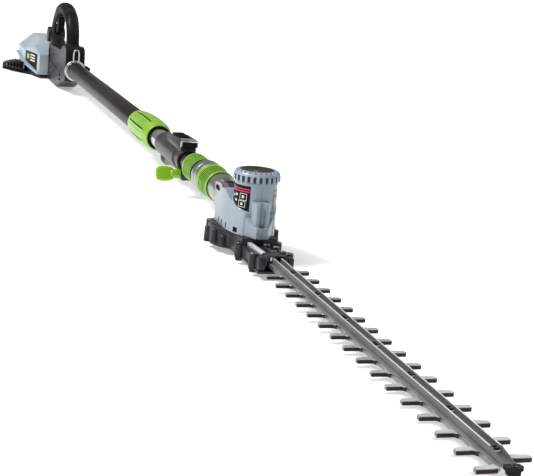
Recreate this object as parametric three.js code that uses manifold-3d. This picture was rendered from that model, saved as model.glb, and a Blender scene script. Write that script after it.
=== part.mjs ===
// Battery pole hedge trimmer: telescopic pole, rear D-handle unit, coupler and tilting cutting head.
// Millimetres. +X runs along the pole to the blade tip, +Y is the user's left, +Z is up.
// The origin is the bottom centre of the bounding box: the tool lies on its skid plate and rear stand.
import * as THREE from 'three';
import { mergeVertices } from 'three/addons/utils/BufferGeometryUtils.js';
import Module from 'manifold-3d';

const wasm = await Module();
wasm.setup();

// ---- driving dimensions -------------------------------------------------------------------------

const LENGTH = 2408; // overall, nose guard to battery bay mouth
const NOSE_LENGTH = 8; // nose guard in front of the foremost tooth
const TIP = LENGTH / 2 - NOSE_LENGTH; // X of the front face of the foremost tooth
const AXIS_Z = 52; // pole axis above the ground plane
const GAP = 0.3; // clearance between touching pieces

// blade
const PITCH = 33; // tooth spacing
const TEETH = 16; // teeth on each side
const BLADE_BASE_Z = 14.9; // underside of the lower blade
const BLADE_T = 1.8;
const BAR_HALF = 9.5; // half width of the blade bar between the teeth
const TOOTH_REACH = 26.7; // half width over the tooth tips
const STROKE = 8.25; // travel of each blade either way
const RAIL_HALF = 5.2;
const RAIL_BASE_Z = BLADE_BASE_Z + 2 * BLADE_T + 2 * GAP;
const RAIL_TOP_Z = 25.4;
const RAIL_START = 620; // rear end of the rail, back from the tip
const RAIL_BOLTS = 7;
const RAIL_BOLT_STEP = 78;
const RAIL_BOLT_FIRST = 27;

// gearbox and motor, distances back from the tip
const MOUTH = 545;
const MOTOR = 644.5;
const GEAR = 684.5;
const GEAR_R = 34;
const CASTING_R = 40;
const CASTING_BASE_Z = 7;
const CASTING_TOP_Z = 30;
const DECK_Z = 22;
const TOWER_R = 24.8;
const TOWER_TOP_Z = 92;
const CAP_R = 27.3;
const CAP_TOP_Z = 104.5;
const CRANK = STROKE; // throw of each crank cam
const CAM_R = 6.5;

// tilting joint and head shaft, distances back from the tip
const PIVOT = 735;
const CHEEK_R = 17;
const CHEEK_IN = 8.4;
const CHEEK_OUT = 16.5;
const YOKE_R = 18.2;
const SHAFT_R = 13;

// pole and rear unit, distances back from the tip
const COLLAR_FRONT = 1142;
const COLLAR_BACK = 1288;
const POLE_R = 17;
const POLE_WALL = 1.6;
const POLE_FRONT = 1178;
const POLE_BACK = 1992;
const TUBE_R = 14.2;
const STAND_T = 5.4; // thickness of the stand's foot

const SEGMENTS = 32; // facets of the larger round parts
const FINE = 20; // facets of the smaller round parts

const at = (back) => TIP - back; // X of a place so far back from the tip

// ---- solids -------------------------------------------------------------------------------------

// A three.js geometry as a manifold solid, turned inside out first where its faces point inwards.
function solid(geometry) {
  const bare = geometry.clone();
  bare.deleteAttribute('normal');
  bare.deleteAttribute('uv');
  const merged = mergeVertices(bare, 1e-4);
  const vertProperties = new Float32Array(merged.attributes.position.array);
  const triVerts = new Uint32Array(merged.index.array);
  if (signedVolume(vertProperties, triVerts) < 0) {
    for (let i = 0; i < triVerts.length; i += 3) {
      [triVerts[i], triVerts[i + 1]] = [triVerts[i + 1], triVerts[i]];
    }
  }
  return new wasm.Manifold(new wasm.Mesh({ numProp: 3, vertProperties, triVerts }));
}

function signedVolume(positions, triangles) {
  const corner = (i) => new THREE.Vector3().fromArray(positions, 3 * triangles[i]);
  let volume = 0;
  for (let i = 0; i < triangles.length; i += 3) {
    volume += corner(i).dot(corner(i + 1).cross(corner(i + 2)));
  }
  return volume;
}

function geometryOf(manifold) {
  const mesh = manifold.getMesh();
  const geometry = new THREE.BufferGeometry();
  geometry.setAttribute('position', new THREE.BufferAttribute(mesh.vertProperties, 3));
  geometry.setIndex(new THREE.BufferAttribute(mesh.triVerts, 1));
  geometry.computeVertexNormals();
  return geometry;
}

const join = (...parts) => parts.reduce((a, b) => a.add(b));
const cut = (body, ...tools) => tools.reduce((a, b) => a.subtract(b), body);

function box(x0, x1, y0, y1, z0, z1) {
  const geometry = new THREE.BoxGeometry(Math.abs(x1 - x0), y1 - y0, z1 - z0);
  return solid(geometry.translate((x0 + x1) / 2, (y0 + y1) / 2, (z0 + z1) / 2));
}

// Cylinders and cones along each axis.
function rodX(x0, x1, r0, y = 0, z = AXIS_Z, r1 = r0, segments = SEGMENTS) {
  const geometry = new THREE.CylinderGeometry(r1, r0, x1 - x0, segments);
  return solid(geometry.rotateZ(-Math.PI / 2).translate((x0 + x1) / 2, y, z));
}

function rodY(x, z, r, y0, y1, segments = FINE) {
  return solid(new THREE.CylinderGeometry(r, r, y1 - y0, segments).translate(x, (y0 + y1) / 2, z));
}

function rodZ(x, y, r0, z0, z1, r1 = r0, segments = SEGMENTS) {
  const geometry = new THREE.CylinderGeometry(r1, r0, z1 - z0, segments);
  return solid(geometry.rotateX(Math.PI / 2).translate(x, y, (z0 + z1) / 2));
}

// A closed profile of [distance along X, radius] pairs turned about the pole axis.
function turned(profile, segments = SEGMENTS) {
  const points = profile.map(([x, r]) => new THREE.Vector2(r, x));
  points.push(points[0].clone());
  const geometry = new THREE.LatheGeometry(points, segments);
  return solid(geometry.rotateZ(-Math.PI / 2).translate(0, 0, AXIS_Z));
}

function shapeOf(points) {
  return new THREE.Shape(points.map(([a, b]) => new THREE.Vector2(a, b)));
}

// Plates from an outline: seen from above (x, y) or from the side (x, z).
function plateZ(shape, z0, z1, curveSegments = 6) {
  const options = { depth: z1 - z0, bevelEnabled: false, curveSegments };
  return solid(new THREE.ExtrudeGeometry(shape, options).translate(0, 0, z0));
}

function plateY(shape, y0, y1, curveSegments = 6) {
  const options = { depth: y1 - y0, bevelEnabled: false, curveSegments };
  return solid(new THREE.ExtrudeGeometry(shape, options).rotateX(Math.PI / 2).translate(0, y1, 0));
}

function plateX(shape, x0, x1, curveSegments = 6) {
  const options = { depth: x1 - x0, bevelEnabled: false, curveSegments };
  const turn = new THREE.Matrix4().set(0, 0, 1, x0, 1, 0, 0, 0, 0, 1, 0, 0, 0, 0, 0, 1);
  return solid(new THREE.ExtrudeGeometry(shape, options).applyMatrix4(turn));
}

// A strip of the given half width along a smooth line through the points, as an outline.
function ribbon(points, halfWidth, steps = 24) {
  const line = new THREE.CatmullRomCurve3(points.map(([a, b]) => new THREE.Vector3(a, b, 0)));
  const left = [];
  const right = [];
  for (let i = 0; i <= steps; i += 1) {
    const place = line.getPointAt(i / steps);
    const along = line.getTangentAt(i / steps);
    left.push([place.x - along.y * halfWidth, place.y + along.x * halfWidth]);
    right.unshift([place.x + along.y * halfWidth, place.y - along.x * halfWidth]);
  }
  return shapeOf([...left, ...right]);
}

// ---- materials ----------------------------------------------------------------------------------

const material = (color, roughness, metalness) =>
  new THREE.MeshStandardMaterial({ color, roughness, metalness });

const STEEL = material(0x9a9c9e, 0.35, 0.9);
const BLADE_STEEL = material(0xb9bbbd, 0.3, 0.9);
const DARK_STEEL = material(0x3a3b3d, 0.45, 0.7);
const CASTING = material(0x4b4c50, 0.55, 0.4);
const GREY_PLASTIC = material(0x9aa7b2, 0.5, 0);
const GREEN_PLASTIC = material(0x6fbe2a, 0.45, 0);
const BLACK_PLASTIC = material(0x232325, 0.6, 0);
const CARBON = material(0x2c2627, 0.35, 0.1);
const COPPER = material(0xb06a3a, 0.4, 0.8);
const LABEL = material(0x151515, 0.5, 0);
const BOARD = material(0x1e5a34, 0.6, 0);

const group = new THREE.Group();
group.name = 'pole_hedge_trimmer';

function part(name, manifold, finish) {
  const mesh = new THREE.Mesh(geometryOf(manifold), finish);
  mesh.name = name;
  group.add(mesh);
}

// ---- blades, rail and nose ----------------------------------------------------------------------

const railBoltPlaces = Array.from(
  { length: RAIL_BOLTS },
  (_, i) => at(RAIL_BOLT_FIRST + i * RAIL_BOLT_STEP),
);

// One side of the blade outline, from the tip back. side is +1 for the left and -1 for the right.
function toothedEdge(side) {
  const edge = new THREE.Path();
  const stagger = side > 0 ? PITCH / 2 : 0;
  const front = at(stagger);
  edge.moveTo(front - 0.8, side * BAR_HALF);
  for (let i = 0; i < TEETH; i += 1) {
    const face = front - i * PITCH;
    if (i > 0) {
      // the gap in front of this tooth: a straight floor, then a long fillet into the tooth's face
      edge.lineTo(face + 9.4, side * BAR_HALF);
      edge.quadraticCurveTo(face + 1.2, side * (BAR_HALF + 0.2), face, side * (BAR_HALF + 3.5));
    }
    edge.lineTo(face, side * (TOOTH_REACH - 0.8));
    edge.lineTo(face - 0.9, side * TOOTH_REACH);
    edge.lineTo(face - 5.6, side * TOOTH_REACH);
    edge.lineTo(face - 6.6, side * (TOOTH_REACH - 1.2));
    edge.lineTo(face - 8, side * (BAR_HALF + 1.6));
    edge.lineTo(face - 9.4, side * BAR_HALF);
  }
  return edge.getPoints(2);
}

function blade(z, name) {
  const neck = at(MOUTH + 4);
  const ring = at(GEAR);
  const windowLong = CRANK + CAM_R + STROKE + 0.4;
  const windowWide = CRANK + CAM_R + 0.4;
  const right = toothedEdge(-1);
  const left = toothedEdge(1).reverse();
  const bar = new THREE.Shape([
    ...right,
    new THREE.Vector2(neck, -BAR_HALF),
    new THREE.Vector2(ring + 18, -BAR_HALF),
    new THREE.Vector2(ring + 18, BAR_HALF),
    new THREE.Vector2(neck, BAR_HALF),
    ...left,
  ]);
  for (const x of railBoltPlaces) bar.holes.push(slot(x, 0, STROKE + 3, 3));
  const yoke = roundedRectangle(ring, 0, windowLong + 3.5, windowWide + 4, 12);
  const yokeWindow = roundedRectangle(ring, 0, windowLong, windowWide, 9);
  const notch = box(at(STROKE + 1), at(-20), -RAIL_HALF - 0.6, RAIL_HALF + 0.6, z - 1, z + BLADE_T + 1);
  const body = cut(
    join(plateZ(bar, z, z + BLADE_T), plateZ(yoke, z, z + BLADE_T)),
    plateZ(yokeWindow, z - 1, z + BLADE_T + 1),
    notch,
  );
  part(name, body, BLADE_STEEL);
}

// A slot outline: half length and half width about its centre.
function slot(x, y, halfLength, halfWidth) {
  const path = new THREE.Path();
  const run = halfLength - halfWidth;
  path.absarc(x + run, y, halfWidth, -Math.PI / 2, Math.PI / 2, false);
  path.absarc(x - run, y, halfWidth, Math.PI / 2, 1.5 * Math.PI, false);
  path.closePath();
  return path;
}

function roundedRectangle(x, y, halfLong, halfWide, r) {
  const shape = new THREE.Shape();
  const quarter = Math.PI / 2;
  shape.absarc(x + halfLong - r, y - halfWide + r, r, -quarter, 0, false);
  shape.absarc(x + halfLong - r, y + halfWide - r, r, 0, quarter, false);
  shape.absarc(x - halfLong + r, y + halfWide - r, r, quarter, 2 * quarter, false);
  shape.absarc(x - halfLong + r, y - halfWide + r, r, 2 * quarter, 3 * quarter, false);
  shape.closePath();
  return shape;
}

function rail() {
  const wall = 1.3;
  const floorTop = RAIL_BASE_Z + 1.6;
  const back = at(RAIL_START);
  const walls = at(MOUTH - 1);
  const front = at(1.4);
  let body = join(
    box(back, front, -RAIL_HALF, RAIL_HALF, RAIL_BASE_Z, floorTop),
    box(walls, front, -RAIL_HALF, RAIL_HALF, RAIL_BASE_Z, RAIL_TOP_Z),
  );
  body = cut(body, box(walls - 1, front + 1, -RAIL_HALF + wall, RAIL_HALF - wall, floorTop, 40));
  for (const x of railBoltPlaces) {
    body = cut(body, rodZ(x, 0, 2.7, RAIL_BASE_Z - 1, floorTop + 1, 2.7, FINE));
  }
  part('blade_rail', body, STEEL);
}

// Each bolt clamps the rail over the blades: head in the channel, nut and washer underneath.
function railBolts() {
  const floorTop = RAIL_BASE_Z + 1.6;
  railBoltPlaces.forEach((x, i) => {
    const bolt = join(
      rodZ(x, 0, 3.5, floorTop + GAP, floorTop + 3.4, 3.5, 12),
      rodZ(x, 0, 2.3, BLADE_BASE_Z - 3, floorTop + 1, 2.3, 12),
      rodZ(x, 0, 5.4, BLADE_BASE_Z - 1.5, BLADE_BASE_Z - GAP, 5.4, 16),
      rodZ(x, 0, 4.2, BLADE_BASE_Z - 4.4, BLADE_BASE_Z - 1, 4.2, 6),
    );
    part(`rail_bolt_${i + 1}`, bolt, DARK_STEEL);
  });
}

function noseGuard() {
  const body = join(
    box(at(1), at(-NOSE_LENGTH), -7.5, 7.5, RAIL_BASE_Z, RAIL_BASE_Z + 3.4),
    box(at(0), at(-NOSE_LENGTH + 1), -RAIL_HALF, RAIL_HALF, BLADE_BASE_Z, RAIL_BASE_Z + 1),
  );
  part('nose_guard', body, DARK_STEEL);
}

// ---- gearbox ------------------------------------------------------------------------------------

// Outline of the casting from above: a round gear case that narrows to the blade mouth.
function castingOutline(inset) {
  const x = at(GEAR);
  const r = CASTING_R - inset;
  const half = 21 - inset;
  const shape = new THREE.Shape();
  const open = 0.62;
  shape.absarc(x, 0, r, open, 2 * Math.PI - open, false);
  shape.quadraticCurveTo(at(630), -half - 2, at(610), -half);
  shape.lineTo(at(MOUTH), -half);
  shape.lineTo(at(MOUTH), half);
  shape.lineTo(at(610), half);
  shape.quadraticCurveTo(at(630), half + 2, x + r * Math.cos(open), r * Math.sin(open));
  return shape;
}

const BOSSES = [
  [615, 21.5],
  [566, 19],
];

function casting() {
  const front = box(at(613), at(MOUTH - 20), -60, 60, DECK_Z, 60);
  let body = cut(plateZ(castingOutline(0), CASTING_BASE_Z + 3, CASTING_TOP_Z), front);
  const pedestal = rodZ(at(MOTOR), 0, TOWER_R + 1, DECK_Z - 1, CASTING_TOP_Z);
  body = join(body, pedestal);
  for (const [back, y] of BOSSES) {
    for (const side of [-1, 1]) {
      body = join(body, rodZ(at(back), side * y, 5, CASTING_BASE_Z + 3, DECK_Z + 0.6, 4.6, 12));
    }
  }
  // roof ridge over the blade neck, and the ears that carry the tilting joint's knuckle
  const ridgeSection = shapeOf([
    [-5.6, DECK_Z - 0.5], [5.6, DECK_Z - 0.5], [4.6, DECK_Z + 1.6], [-4.6, DECK_Z + 1.6],
  ]);
  body = join(body, plateX(ridgeSection, at(630), at(MOUTH + 2)), knuckle());
  // the gear chamber, the blade tunnel and the openings between them
  const chamber = rodZ(at(GEAR), 0, GEAR_R + 3, CASTING_BASE_Z, CASTING_TOP_Z - 2.6);
  const tunnel = box(at(GEAR), at(MOUTH - 10), -11.5, 11.5, BLADE_BASE_Z - 1, RAIL_BASE_Z + 1.9);
  const belly = box(at(GEAR), at(560), -11.5, 11.5, CASTING_BASE_Z, BLADE_BASE_Z);
  const bellyMouth = box(at(560), at(MOUTH - 10), -11.5, 11.5, CASTING_BASE_Z + 5, BLADE_BASE_Z);
  const motorBore = rodZ(at(MOTOR), 0, 9.5, BLADE_BASE_Z, CASTING_TOP_Z + 1, 9.5, FINE);
  const gearPost = rodZ(at(GEAR), 0, 9, CASTING_TOP_Z - 5, CASTING_TOP_Z - 2, 9, FINE);
  const shaftBore = rodZ(at(GEAR), 0, 5.1, CASTING_BASE_Z, CASTING_TOP_Z - 2.8, 5.1, FINE);
  body = cut(body, chamber, tunnel, belly, bellyMouth, motorBore);
  body = cut(join(body, gearPost), shaftBore);
  for (const [back, y] of BOSSES) {
    for (const side of [-1, 1]) {
      body = cut(body, rodZ(at(back), side * y, 2.4, 0, DECK_Z - 2, 2.4, 12));
    }
  }
  part('gearbox_casting', body, CASTING);
}

// The knuckle between the yoke's cheeks, on an arm that rises from the back of the gear case.
function knuckle() {
  const x = at(PIVOT);
  const disc = rodY(x, AXIS_Z, 16, -CHEEK_IN + 0.6, CHEEK_IN - 0.6, SEGMENTS);
  const arm = shapeOf([
    [x, AXIS_Z + 15], [x + 5, AXIS_Z - 14], [x + 14, CASTING_TOP_Z], [x + 14, CASTING_TOP_Z - 2],
    [x + 46, CASTING_TOP_Z - 2], [x + 46, CASTING_TOP_Z], [x + 34, AXIS_Z - 4], [x + 18, AXIS_Z + 10],
  ]);
  const body = join(disc, plateY(arm, -CHEEK_IN + 0.6, CHEEK_IN - 0.6));
  return cut(body, rodY(x, AXIS_Z, 4.3, -20, 20));
}

function bottomCover() {
  const skid = new THREE.Shape();
  skid.moveTo(at(GEAR) - 22, CASTING_BASE_Z);
  skid.lineTo(at(GEAR) - 14, 0);
  skid.lineTo(at(GEAR) + 40, 0);
  skid.lineTo(at(GEAR) + 56, CASTING_BASE_Z);
  let body = cut(
    join(
      plateZ(castingOutline(0), CASTING_BASE_Z, CASTING_BASE_Z + 3 - GAP),
      plateY(skid, -13, 13),
      rodZ(at(GEAR), 0, 9, CASTING_BASE_Z, CASTING_BASE_Z + 5.5, 9, FINE),
    ),
    rodZ(at(GEAR), 0, 5.1, CASTING_BASE_Z + 1.8, 20, 5.1, FINE),
  );
  for (const [back, y] of BOSSES) {
    for (const side of [-1, 1]) {
      body = join(body, rodZ(at(back), side * y, 5, CASTING_BASE_Z, CASTING_BASE_Z + 3 - GAP, 5, 12));
      body = cut(body, rodZ(at(back), side * y, 2.4, 0, 20, 2.4, 12));
    }
  }
  part('gearbox_bottom_cover', body, CASTING);
}

function gearboxBolts() {
  let number = 1;
  for (const [back, y] of BOSSES) {
    for (const side of [-1, 1]) {
      const bolt = join(
        rodZ(at(back), side * y, 4, CASTING_BASE_Z - 3.2, CASTING_BASE_Z - GAP, 4, 12),
        rodZ(at(back), side * y, 2, CASTING_BASE_Z - 1, DECK_Z - 3, 2, 12),
      );
      part(`gearbox_bolt_${number}`, bolt, DARK_STEEL);
      number += 1;
    }
  }
}

// Outline of a spur gear about (x, y).
function gearShape(x, y, teeth, rootR, tipR, turn) {
  const points = [];
  for (let i = 0; i < teeth; i += 1) {
    const step = (2 * Math.PI) / teeth;
    const corners = [[0.02, rootR], [0.3, tipR], [0.5, tipR], [0.78, rootR]];
    for (const [share, r] of corners) {
      const angle = turn + (i + share - 0.4) * step;
      points.push([x + r * Math.cos(angle), y + r * Math.sin(angle)]);
    }
  }
  return shapeOf(points);
}

const GEAR_TEETH = 34;
const PINION_TEETH = 6;
const PINION_R = (GEAR_R * PINION_TEETH) / GEAR_TEETH;

function driveGear() {
  const x = at(GEAR);
  const lower = BLADE_BASE_Z;
  const upper = BLADE_BASE_Z + BLADE_T + GAP;
  const body = join(
    plateZ(gearShape(x, 0, GEAR_TEETH, GEAR_R - 1.5, GEAR_R + 1, 0), 21.4, 24.6),
    rodZ(x, 0, 4.8, CASTING_BASE_Z + 2.2, CASTING_TOP_Z - 3.2, 4.8, FINE),
    rodZ(x, CRANK, CAM_R, upper + 0.1, 21.6, CAM_R, FINE),
    rodZ(x, -CRANK, CAM_R, lower, lower + BLADE_T - 0.1, CAM_R, FINE),
    rodZ(x, 0, 9, lower + BLADE_T - 0.4, upper + 0.4, 9, FINE),
  );
  part('drive_gear', body, STEEL);
}

// ---- motor --------------------------------------------------------------------------------------

function motor() {
  const x = at(MOTOR);
  const stator = cut(rodZ(x, 0, 20, 40, 66), rodZ(x, 0, 8.6, 39, 67, 8.6, FINE));
  const grooves = 9;
  let slotted = stator;
  for (let i = 0; i < grooves; i += 1) {
    const angle = (2 * Math.PI * i) / grooves;
    const tool = new THREE.BoxGeometry(8, 3, 30).translate(13.5, 0, 53).rotateZ(angle).translate(x, 0, 0);
    slotted = cut(slotted, solid(tool));
  }
  part('motor_stator', slotted, COPPER);
  const pinion = gearShape(x, 0, PINION_TEETH, PINION_R - 1.5, PINION_R + 1, Math.PI / PINION_TEETH);
  const rotor = join(
    rodZ(x, 0, 8, 41, 65, 8, FINE),
    rodZ(x, 0, 3, 20.5, 84, 3, FINE),
    plateZ(pinion, 20.8, 26.4),
    fan(x, 71, 77),
  );
  part('motor_rotor', rotor, DARK_STEEL);
  const bearing = cut(rodZ(x, 0, 8.9, 30.4, 36, 8.9, FINE), rodZ(x, 0, 3.1, 30, 37, 3.1, FINE));
  part('rotor_bearing', bearing, STEEL);
}

function fan(x, z0, z1) {
  const blades = 9;
  let body = rodZ(x, 0, 17.5, z0, z0 + 1.4, 17.5, FINE);
  for (let i = 0; i < blades; i += 1) {
    const vane = new THREE.BoxGeometry(12, 1.4, z1 - z0).translate(11, 0, (z0 + z1) / 2);
    body = join(body, solid(vane.rotateZ((2 * Math.PI * i) / blades).translate(x, 0, 0)));
  }
  return body;
}

// Motor housing: a tower on a boot-shaped shroud that covers the gear case, as one hollow body.
function housingBody(inset) {
  const tower = rodZ(at(MOTOR), 0, TOWER_R - inset, CASTING_TOP_Z + GAP, TOWER_TOP_Z - inset);
  const plan = new THREE.Shape();
  const side = 31 - inset;
  const rear = at(716) + inset;
  plan.moveTo(rear, -22 + inset);
  plan.lineTo(at(704), -side);
  plan.lineTo(at(672), -side);
  plan.quadraticCurveTo(at(640), -side + 3, at(622) - inset, -18 + inset);
  plan.lineTo(at(622) - inset, 18 - inset);
  plan.quadraticCurveTo(at(640), side - 3, at(672), side);
  plan.lineTo(at(704), side);
  plan.lineTo(rear, 22 - inset);
  const profile = new THREE.Shape();
  profile.moveTo(at(716) + inset, CASTING_TOP_Z + GAP - 8);
  profile.lineTo(at(600), CASTING_TOP_Z + GAP - 8);
  profile.lineTo(at(600), AXIS_Z + 2 - inset);
  profile.quadraticCurveTo(at(636), AXIS_Z + 6 - inset, at(668), AXIS_Z + 25 - inset);
  profile.lineTo(at(677) + inset, AXIS_Z + 25 - inset);
  profile.quadraticCurveTo(at(694) + inset, AXIS_Z + 16, at(716) + inset, AXIS_Z + 1);
  const boot = plateZ(plan, 20, 90).intersect(plateY(profile, -60, 60, 10));
  return join(tower, boot);
}

function housing() {
  const hollow = cut(housingBody(2.4), box(at(760), at(560), -60, 60, 0, CASTING_TOP_Z + GAP - 4));
  const ridge = plateZ(
    shapeOf([[at(632), -11], [at(614), -9.4], [at(610), -6.8], [at(610), 6.8], [at(614), 9.4], [at(632), 11]]),
    CASTING_TOP_Z + 6, 71);
  const footPlan = shapeOf([
    [at(634), -20], [at(622), -18.5], [at(606), -6.9], [at(606), 6.9], [at(622), 18.5], [at(634), 20],
  ]);
  const footSide = shapeOf([
    [at(640), CASTING_TOP_Z + GAP], [at(600), CASTING_TOP_Z + GAP], [at(600), CASTING_TOP_Z + 13],
    [at(608), CASTING_TOP_Z + 13], [at(622), CASTING_TOP_Z + 21], [at(640), CASTING_TOP_Z + 21],
  ]);
  const foot = plateZ(footPlan, 0, 80).intersect(plateY(footSide, -40, 40));
  let shell = join(housingBody(0), cut(join(ridge, foot), rodZ(at(MOTOR), 0, TOWER_R - 3, 0, 100)));
  shell = cut(
    shell,
    hollow,
    plateZ(castingOutline(-GAP), 0, CASTING_TOP_Z + GAP),
    rodZ(at(MOTOR), 0, TOWER_R + 1.4, 0, CASTING_TOP_Z + GAP),
    box(at(760), at(700), -CHEEK_IN, CHEEK_IN, 0, 80),
    rodY(at(PIVOT), AXIS_Z, CHEEK_R + 1.5, -CHEEK_OUT - 0.6, CHEEK_OUT + 0.6, SEGMENTS),
    rodZ(at(MOTOR), 0, 21, 80, 100),
    rodZ(at(617), 0, 4.4, CASTING_TOP_Z + 9, 90, 4.4, FINE),
  );
  for (const side of [-1, 1]) {
    for (let i = 0; i < 3; i += 1) {
      const x = at(679 - 8.6 * i);
      shell = cut(shell, box(x - 1.3, x + 1.3, side > 0 ? 26 : -40, side > 0 ? 40 : -26, 33, 41));
    }
  }
  const half = (y0, y1) => shell.intersect(box(at(800), at(500), y0, y1, 0, 120));
  part('motor_housing_left', half(GAP / 2, 80), GREY_PLASTIC);
  part('motor_housing_right', half(-80, -GAP / 2), GREY_PLASTIC);
}

function motorCap() {
  const x = at(MOTOR);
  const flutes = 24;
  const outline = [];
  for (let i = 0; i < flutes; i += 1) {
    const step = (2 * Math.PI) / flutes;
    for (const [share, r] of [[0, CAP_R], [0.5, CAP_R], [0.6, CAP_R - 1.4], [0.9, CAP_R - 1.4]]) {
      const angle = (i + share) * step;
      outline.push([x + r * Math.cos(angle), r * Math.sin(angle)]);
    }
  }
  const base = TOWER_TOP_Z + GAP;
  const body = cut(
    join(
      plateZ(shapeOf(outline), base, base + 5.4),
      rodZ(x, 0, CAP_R, base + 5.4, base + 7.6, CAP_R - 1),
      rodZ(x, 0, CAP_R - 1, base + 7.6, base + 9.8, CAP_R - 3),
      rodZ(x, 0, CAP_R - 3, base + 9.8, CAP_TOP_Z, CAP_R - 6.5),
    ),
    rodZ(x, 0, CAP_R - 4.5, base - 1, base + 6),
    rodZ(x, 0, CAP_R - 7, base - 1, base + 9),
    rodZ(x, 0, 19.8, CAP_TOP_Z - 1.6, CAP_TOP_Z + 1),
    rodZ(x, 0, 6, base, CAP_TOP_Z),
  );
  part('motor_cap', body, GREY_PLASTIC);
  const disc = join(
    rodZ(x, 0, 19.4, CAP_TOP_Z - 1.3, CAP_TOP_Z - 0.2),
    rodZ(x, 0, 5.6, CAP_TOP_Z - 3.6, CAP_TOP_Z - 1, 5.6, FINE),
  );
  part('cap_disc', disc, BLACK_PLASTIC);
}

// A sticker wrapped round the tower's right side.
function warningLabel() {
  const x = at(MOTOR);
  const ring = cut(rodZ(x, 0, TOWER_R + 0.9, 62.4, 87), rodZ(x, 0, TOWER_R + 0.3, 50, 90));
  const sector = shapeOf([[x, 0], [x + 52, -31], [x + 20, -60], [x - 20, -60]]);
  const neckline = shapeOf([[x - 30, 50], [x + 9, 50], [x + 9, 65], [x - 10, 77], [x - 30, 80]]);
  const film = cut(ring.intersect(plateZ(sector, 40, 95)), plateY(neckline, -60, 0));
  part('warning_label', film, LABEL);
}

// ---- tilting joint and head shaft ---------------------------------------------------------------

function pivotYoke() {
  const x = at(PIVOT);
  let body = join(
    rodX(at(815), at(760), YOKE_R),
    rodX(at(760), at(752.5), YOKE_R, 0, AXIS_Z, 16.6),
  );
  for (const side of [-1, 1]) {
    const y0 = side > 0 ? CHEEK_IN : -CHEEK_OUT;
    const y1 = side > 0 ? CHEEK_OUT : -CHEEK_IN;
    const arm = rodY(x, AXIS_Z, CHEEK_R, y0, y1, SEGMENTS);
    body = join(body, arm, box(at(758), x, y0, y1, AXIS_Z - 13.5, AXIS_Z + 13.5));
  }
  body = cut(
    body,
    rodY(x, AXIS_Z, 18, -CHEEK_IN, CHEEK_IN, SEGMENTS),
    rodY(x, AXIS_Z, 4.3, -40, 40),
    rodX(at(830), at(791), SHAFT_R + GAP),
    box(at(750), at(736), -24, 24, AXIS_Z + 6, AXIS_Z + 12),
  );
  part('pivot_yoke', body, STEEL);
  part('pivot_pin', rodY(x, AXIS_Z, 4, -CHEEK_OUT - 0.2, CHEEK_OUT + 0.2), DARK_STEEL);
}

// The green sleeve and its steel collar slide back together against the spring to free the head.
function lockSleeve() {
  const bore = join(
    rodX(at(840), at(819), SHAFT_R + 3.5),
    rodX(at(820), at(780), YOKE_R + 0.4),
  );
  const rim = turned([
    [at(830), SHAFT_R + 3], [at(788.5), SHAFT_R + 3], [at(788.5), YOKE_R + 1.4], [at(792), YOKE_R + 2],
    [at(826), YOKE_R + 3.4], [at(830), YOKE_R + 3.2],
  ]);
  part('lock_sleeve', cut(rim, bore), GREEN_PLASTIC);
  const collar = turned([
    [at(861), 17.8], [at(830) - GAP, 17.8], [at(830) - GAP, YOKE_R + 3.2], [at(858), YOKE_R + 3.5],
    [at(861), YOKE_R + 2.4],
  ]);
  part('lock_collar', collar, STEEL);
}

// Coil spring round the head shaft, inside the sleeve, as a helix of square wire.
function sleeveSpring() {
  const turns = 4;
  const length = 12;
  const start = at(831);
  class Helix extends THREE.Curve {
    getPoint(t, target = new THREE.Vector3()) {
      const angle = 2 * Math.PI * turns * t;
      const r = SHAFT_R + 1.8;
      return target.set(start + length * t, r * Math.cos(angle), AXIS_Z + r * Math.sin(angle));
    }
  }
  const wire = shapeOf([[-0.6, -0.6], [0.6, -0.6], [0.6, 0.6], [-0.6, 0.6]]);
  const coil = new THREE.ExtrudeGeometry(wire, { steps: turns * 14, extrudePath: new Helix() });
  part('sleeve_spring', solid(coil), STEEL);
}

function headShaft() {
  const shaft = cut(rodX(at(1041), at(792), SHAFT_R), rodX(at(1050), at(780), SHAFT_R - 1.6));
  part('head_shaft', shaft, DARK_STEEL);
  const ring = cut(
    join(
      rodX(at(919), at(915), 17.6, 0, AXIS_Z, 19),
      rodX(at(915), at(872), 19),
      rodX(at(872), at(852), 17),
    ),
    rodX(at(930), at(840), SHAFT_R + GAP),
  );
  part('grip_ring', ring, GREEN_PLASTIC);
}

// ---- coupler ------------------------------------------------------------------------------------

const CLAMP_X = at(970);
const CLAMP_Z = AXIS_Z - 20.5;

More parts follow.
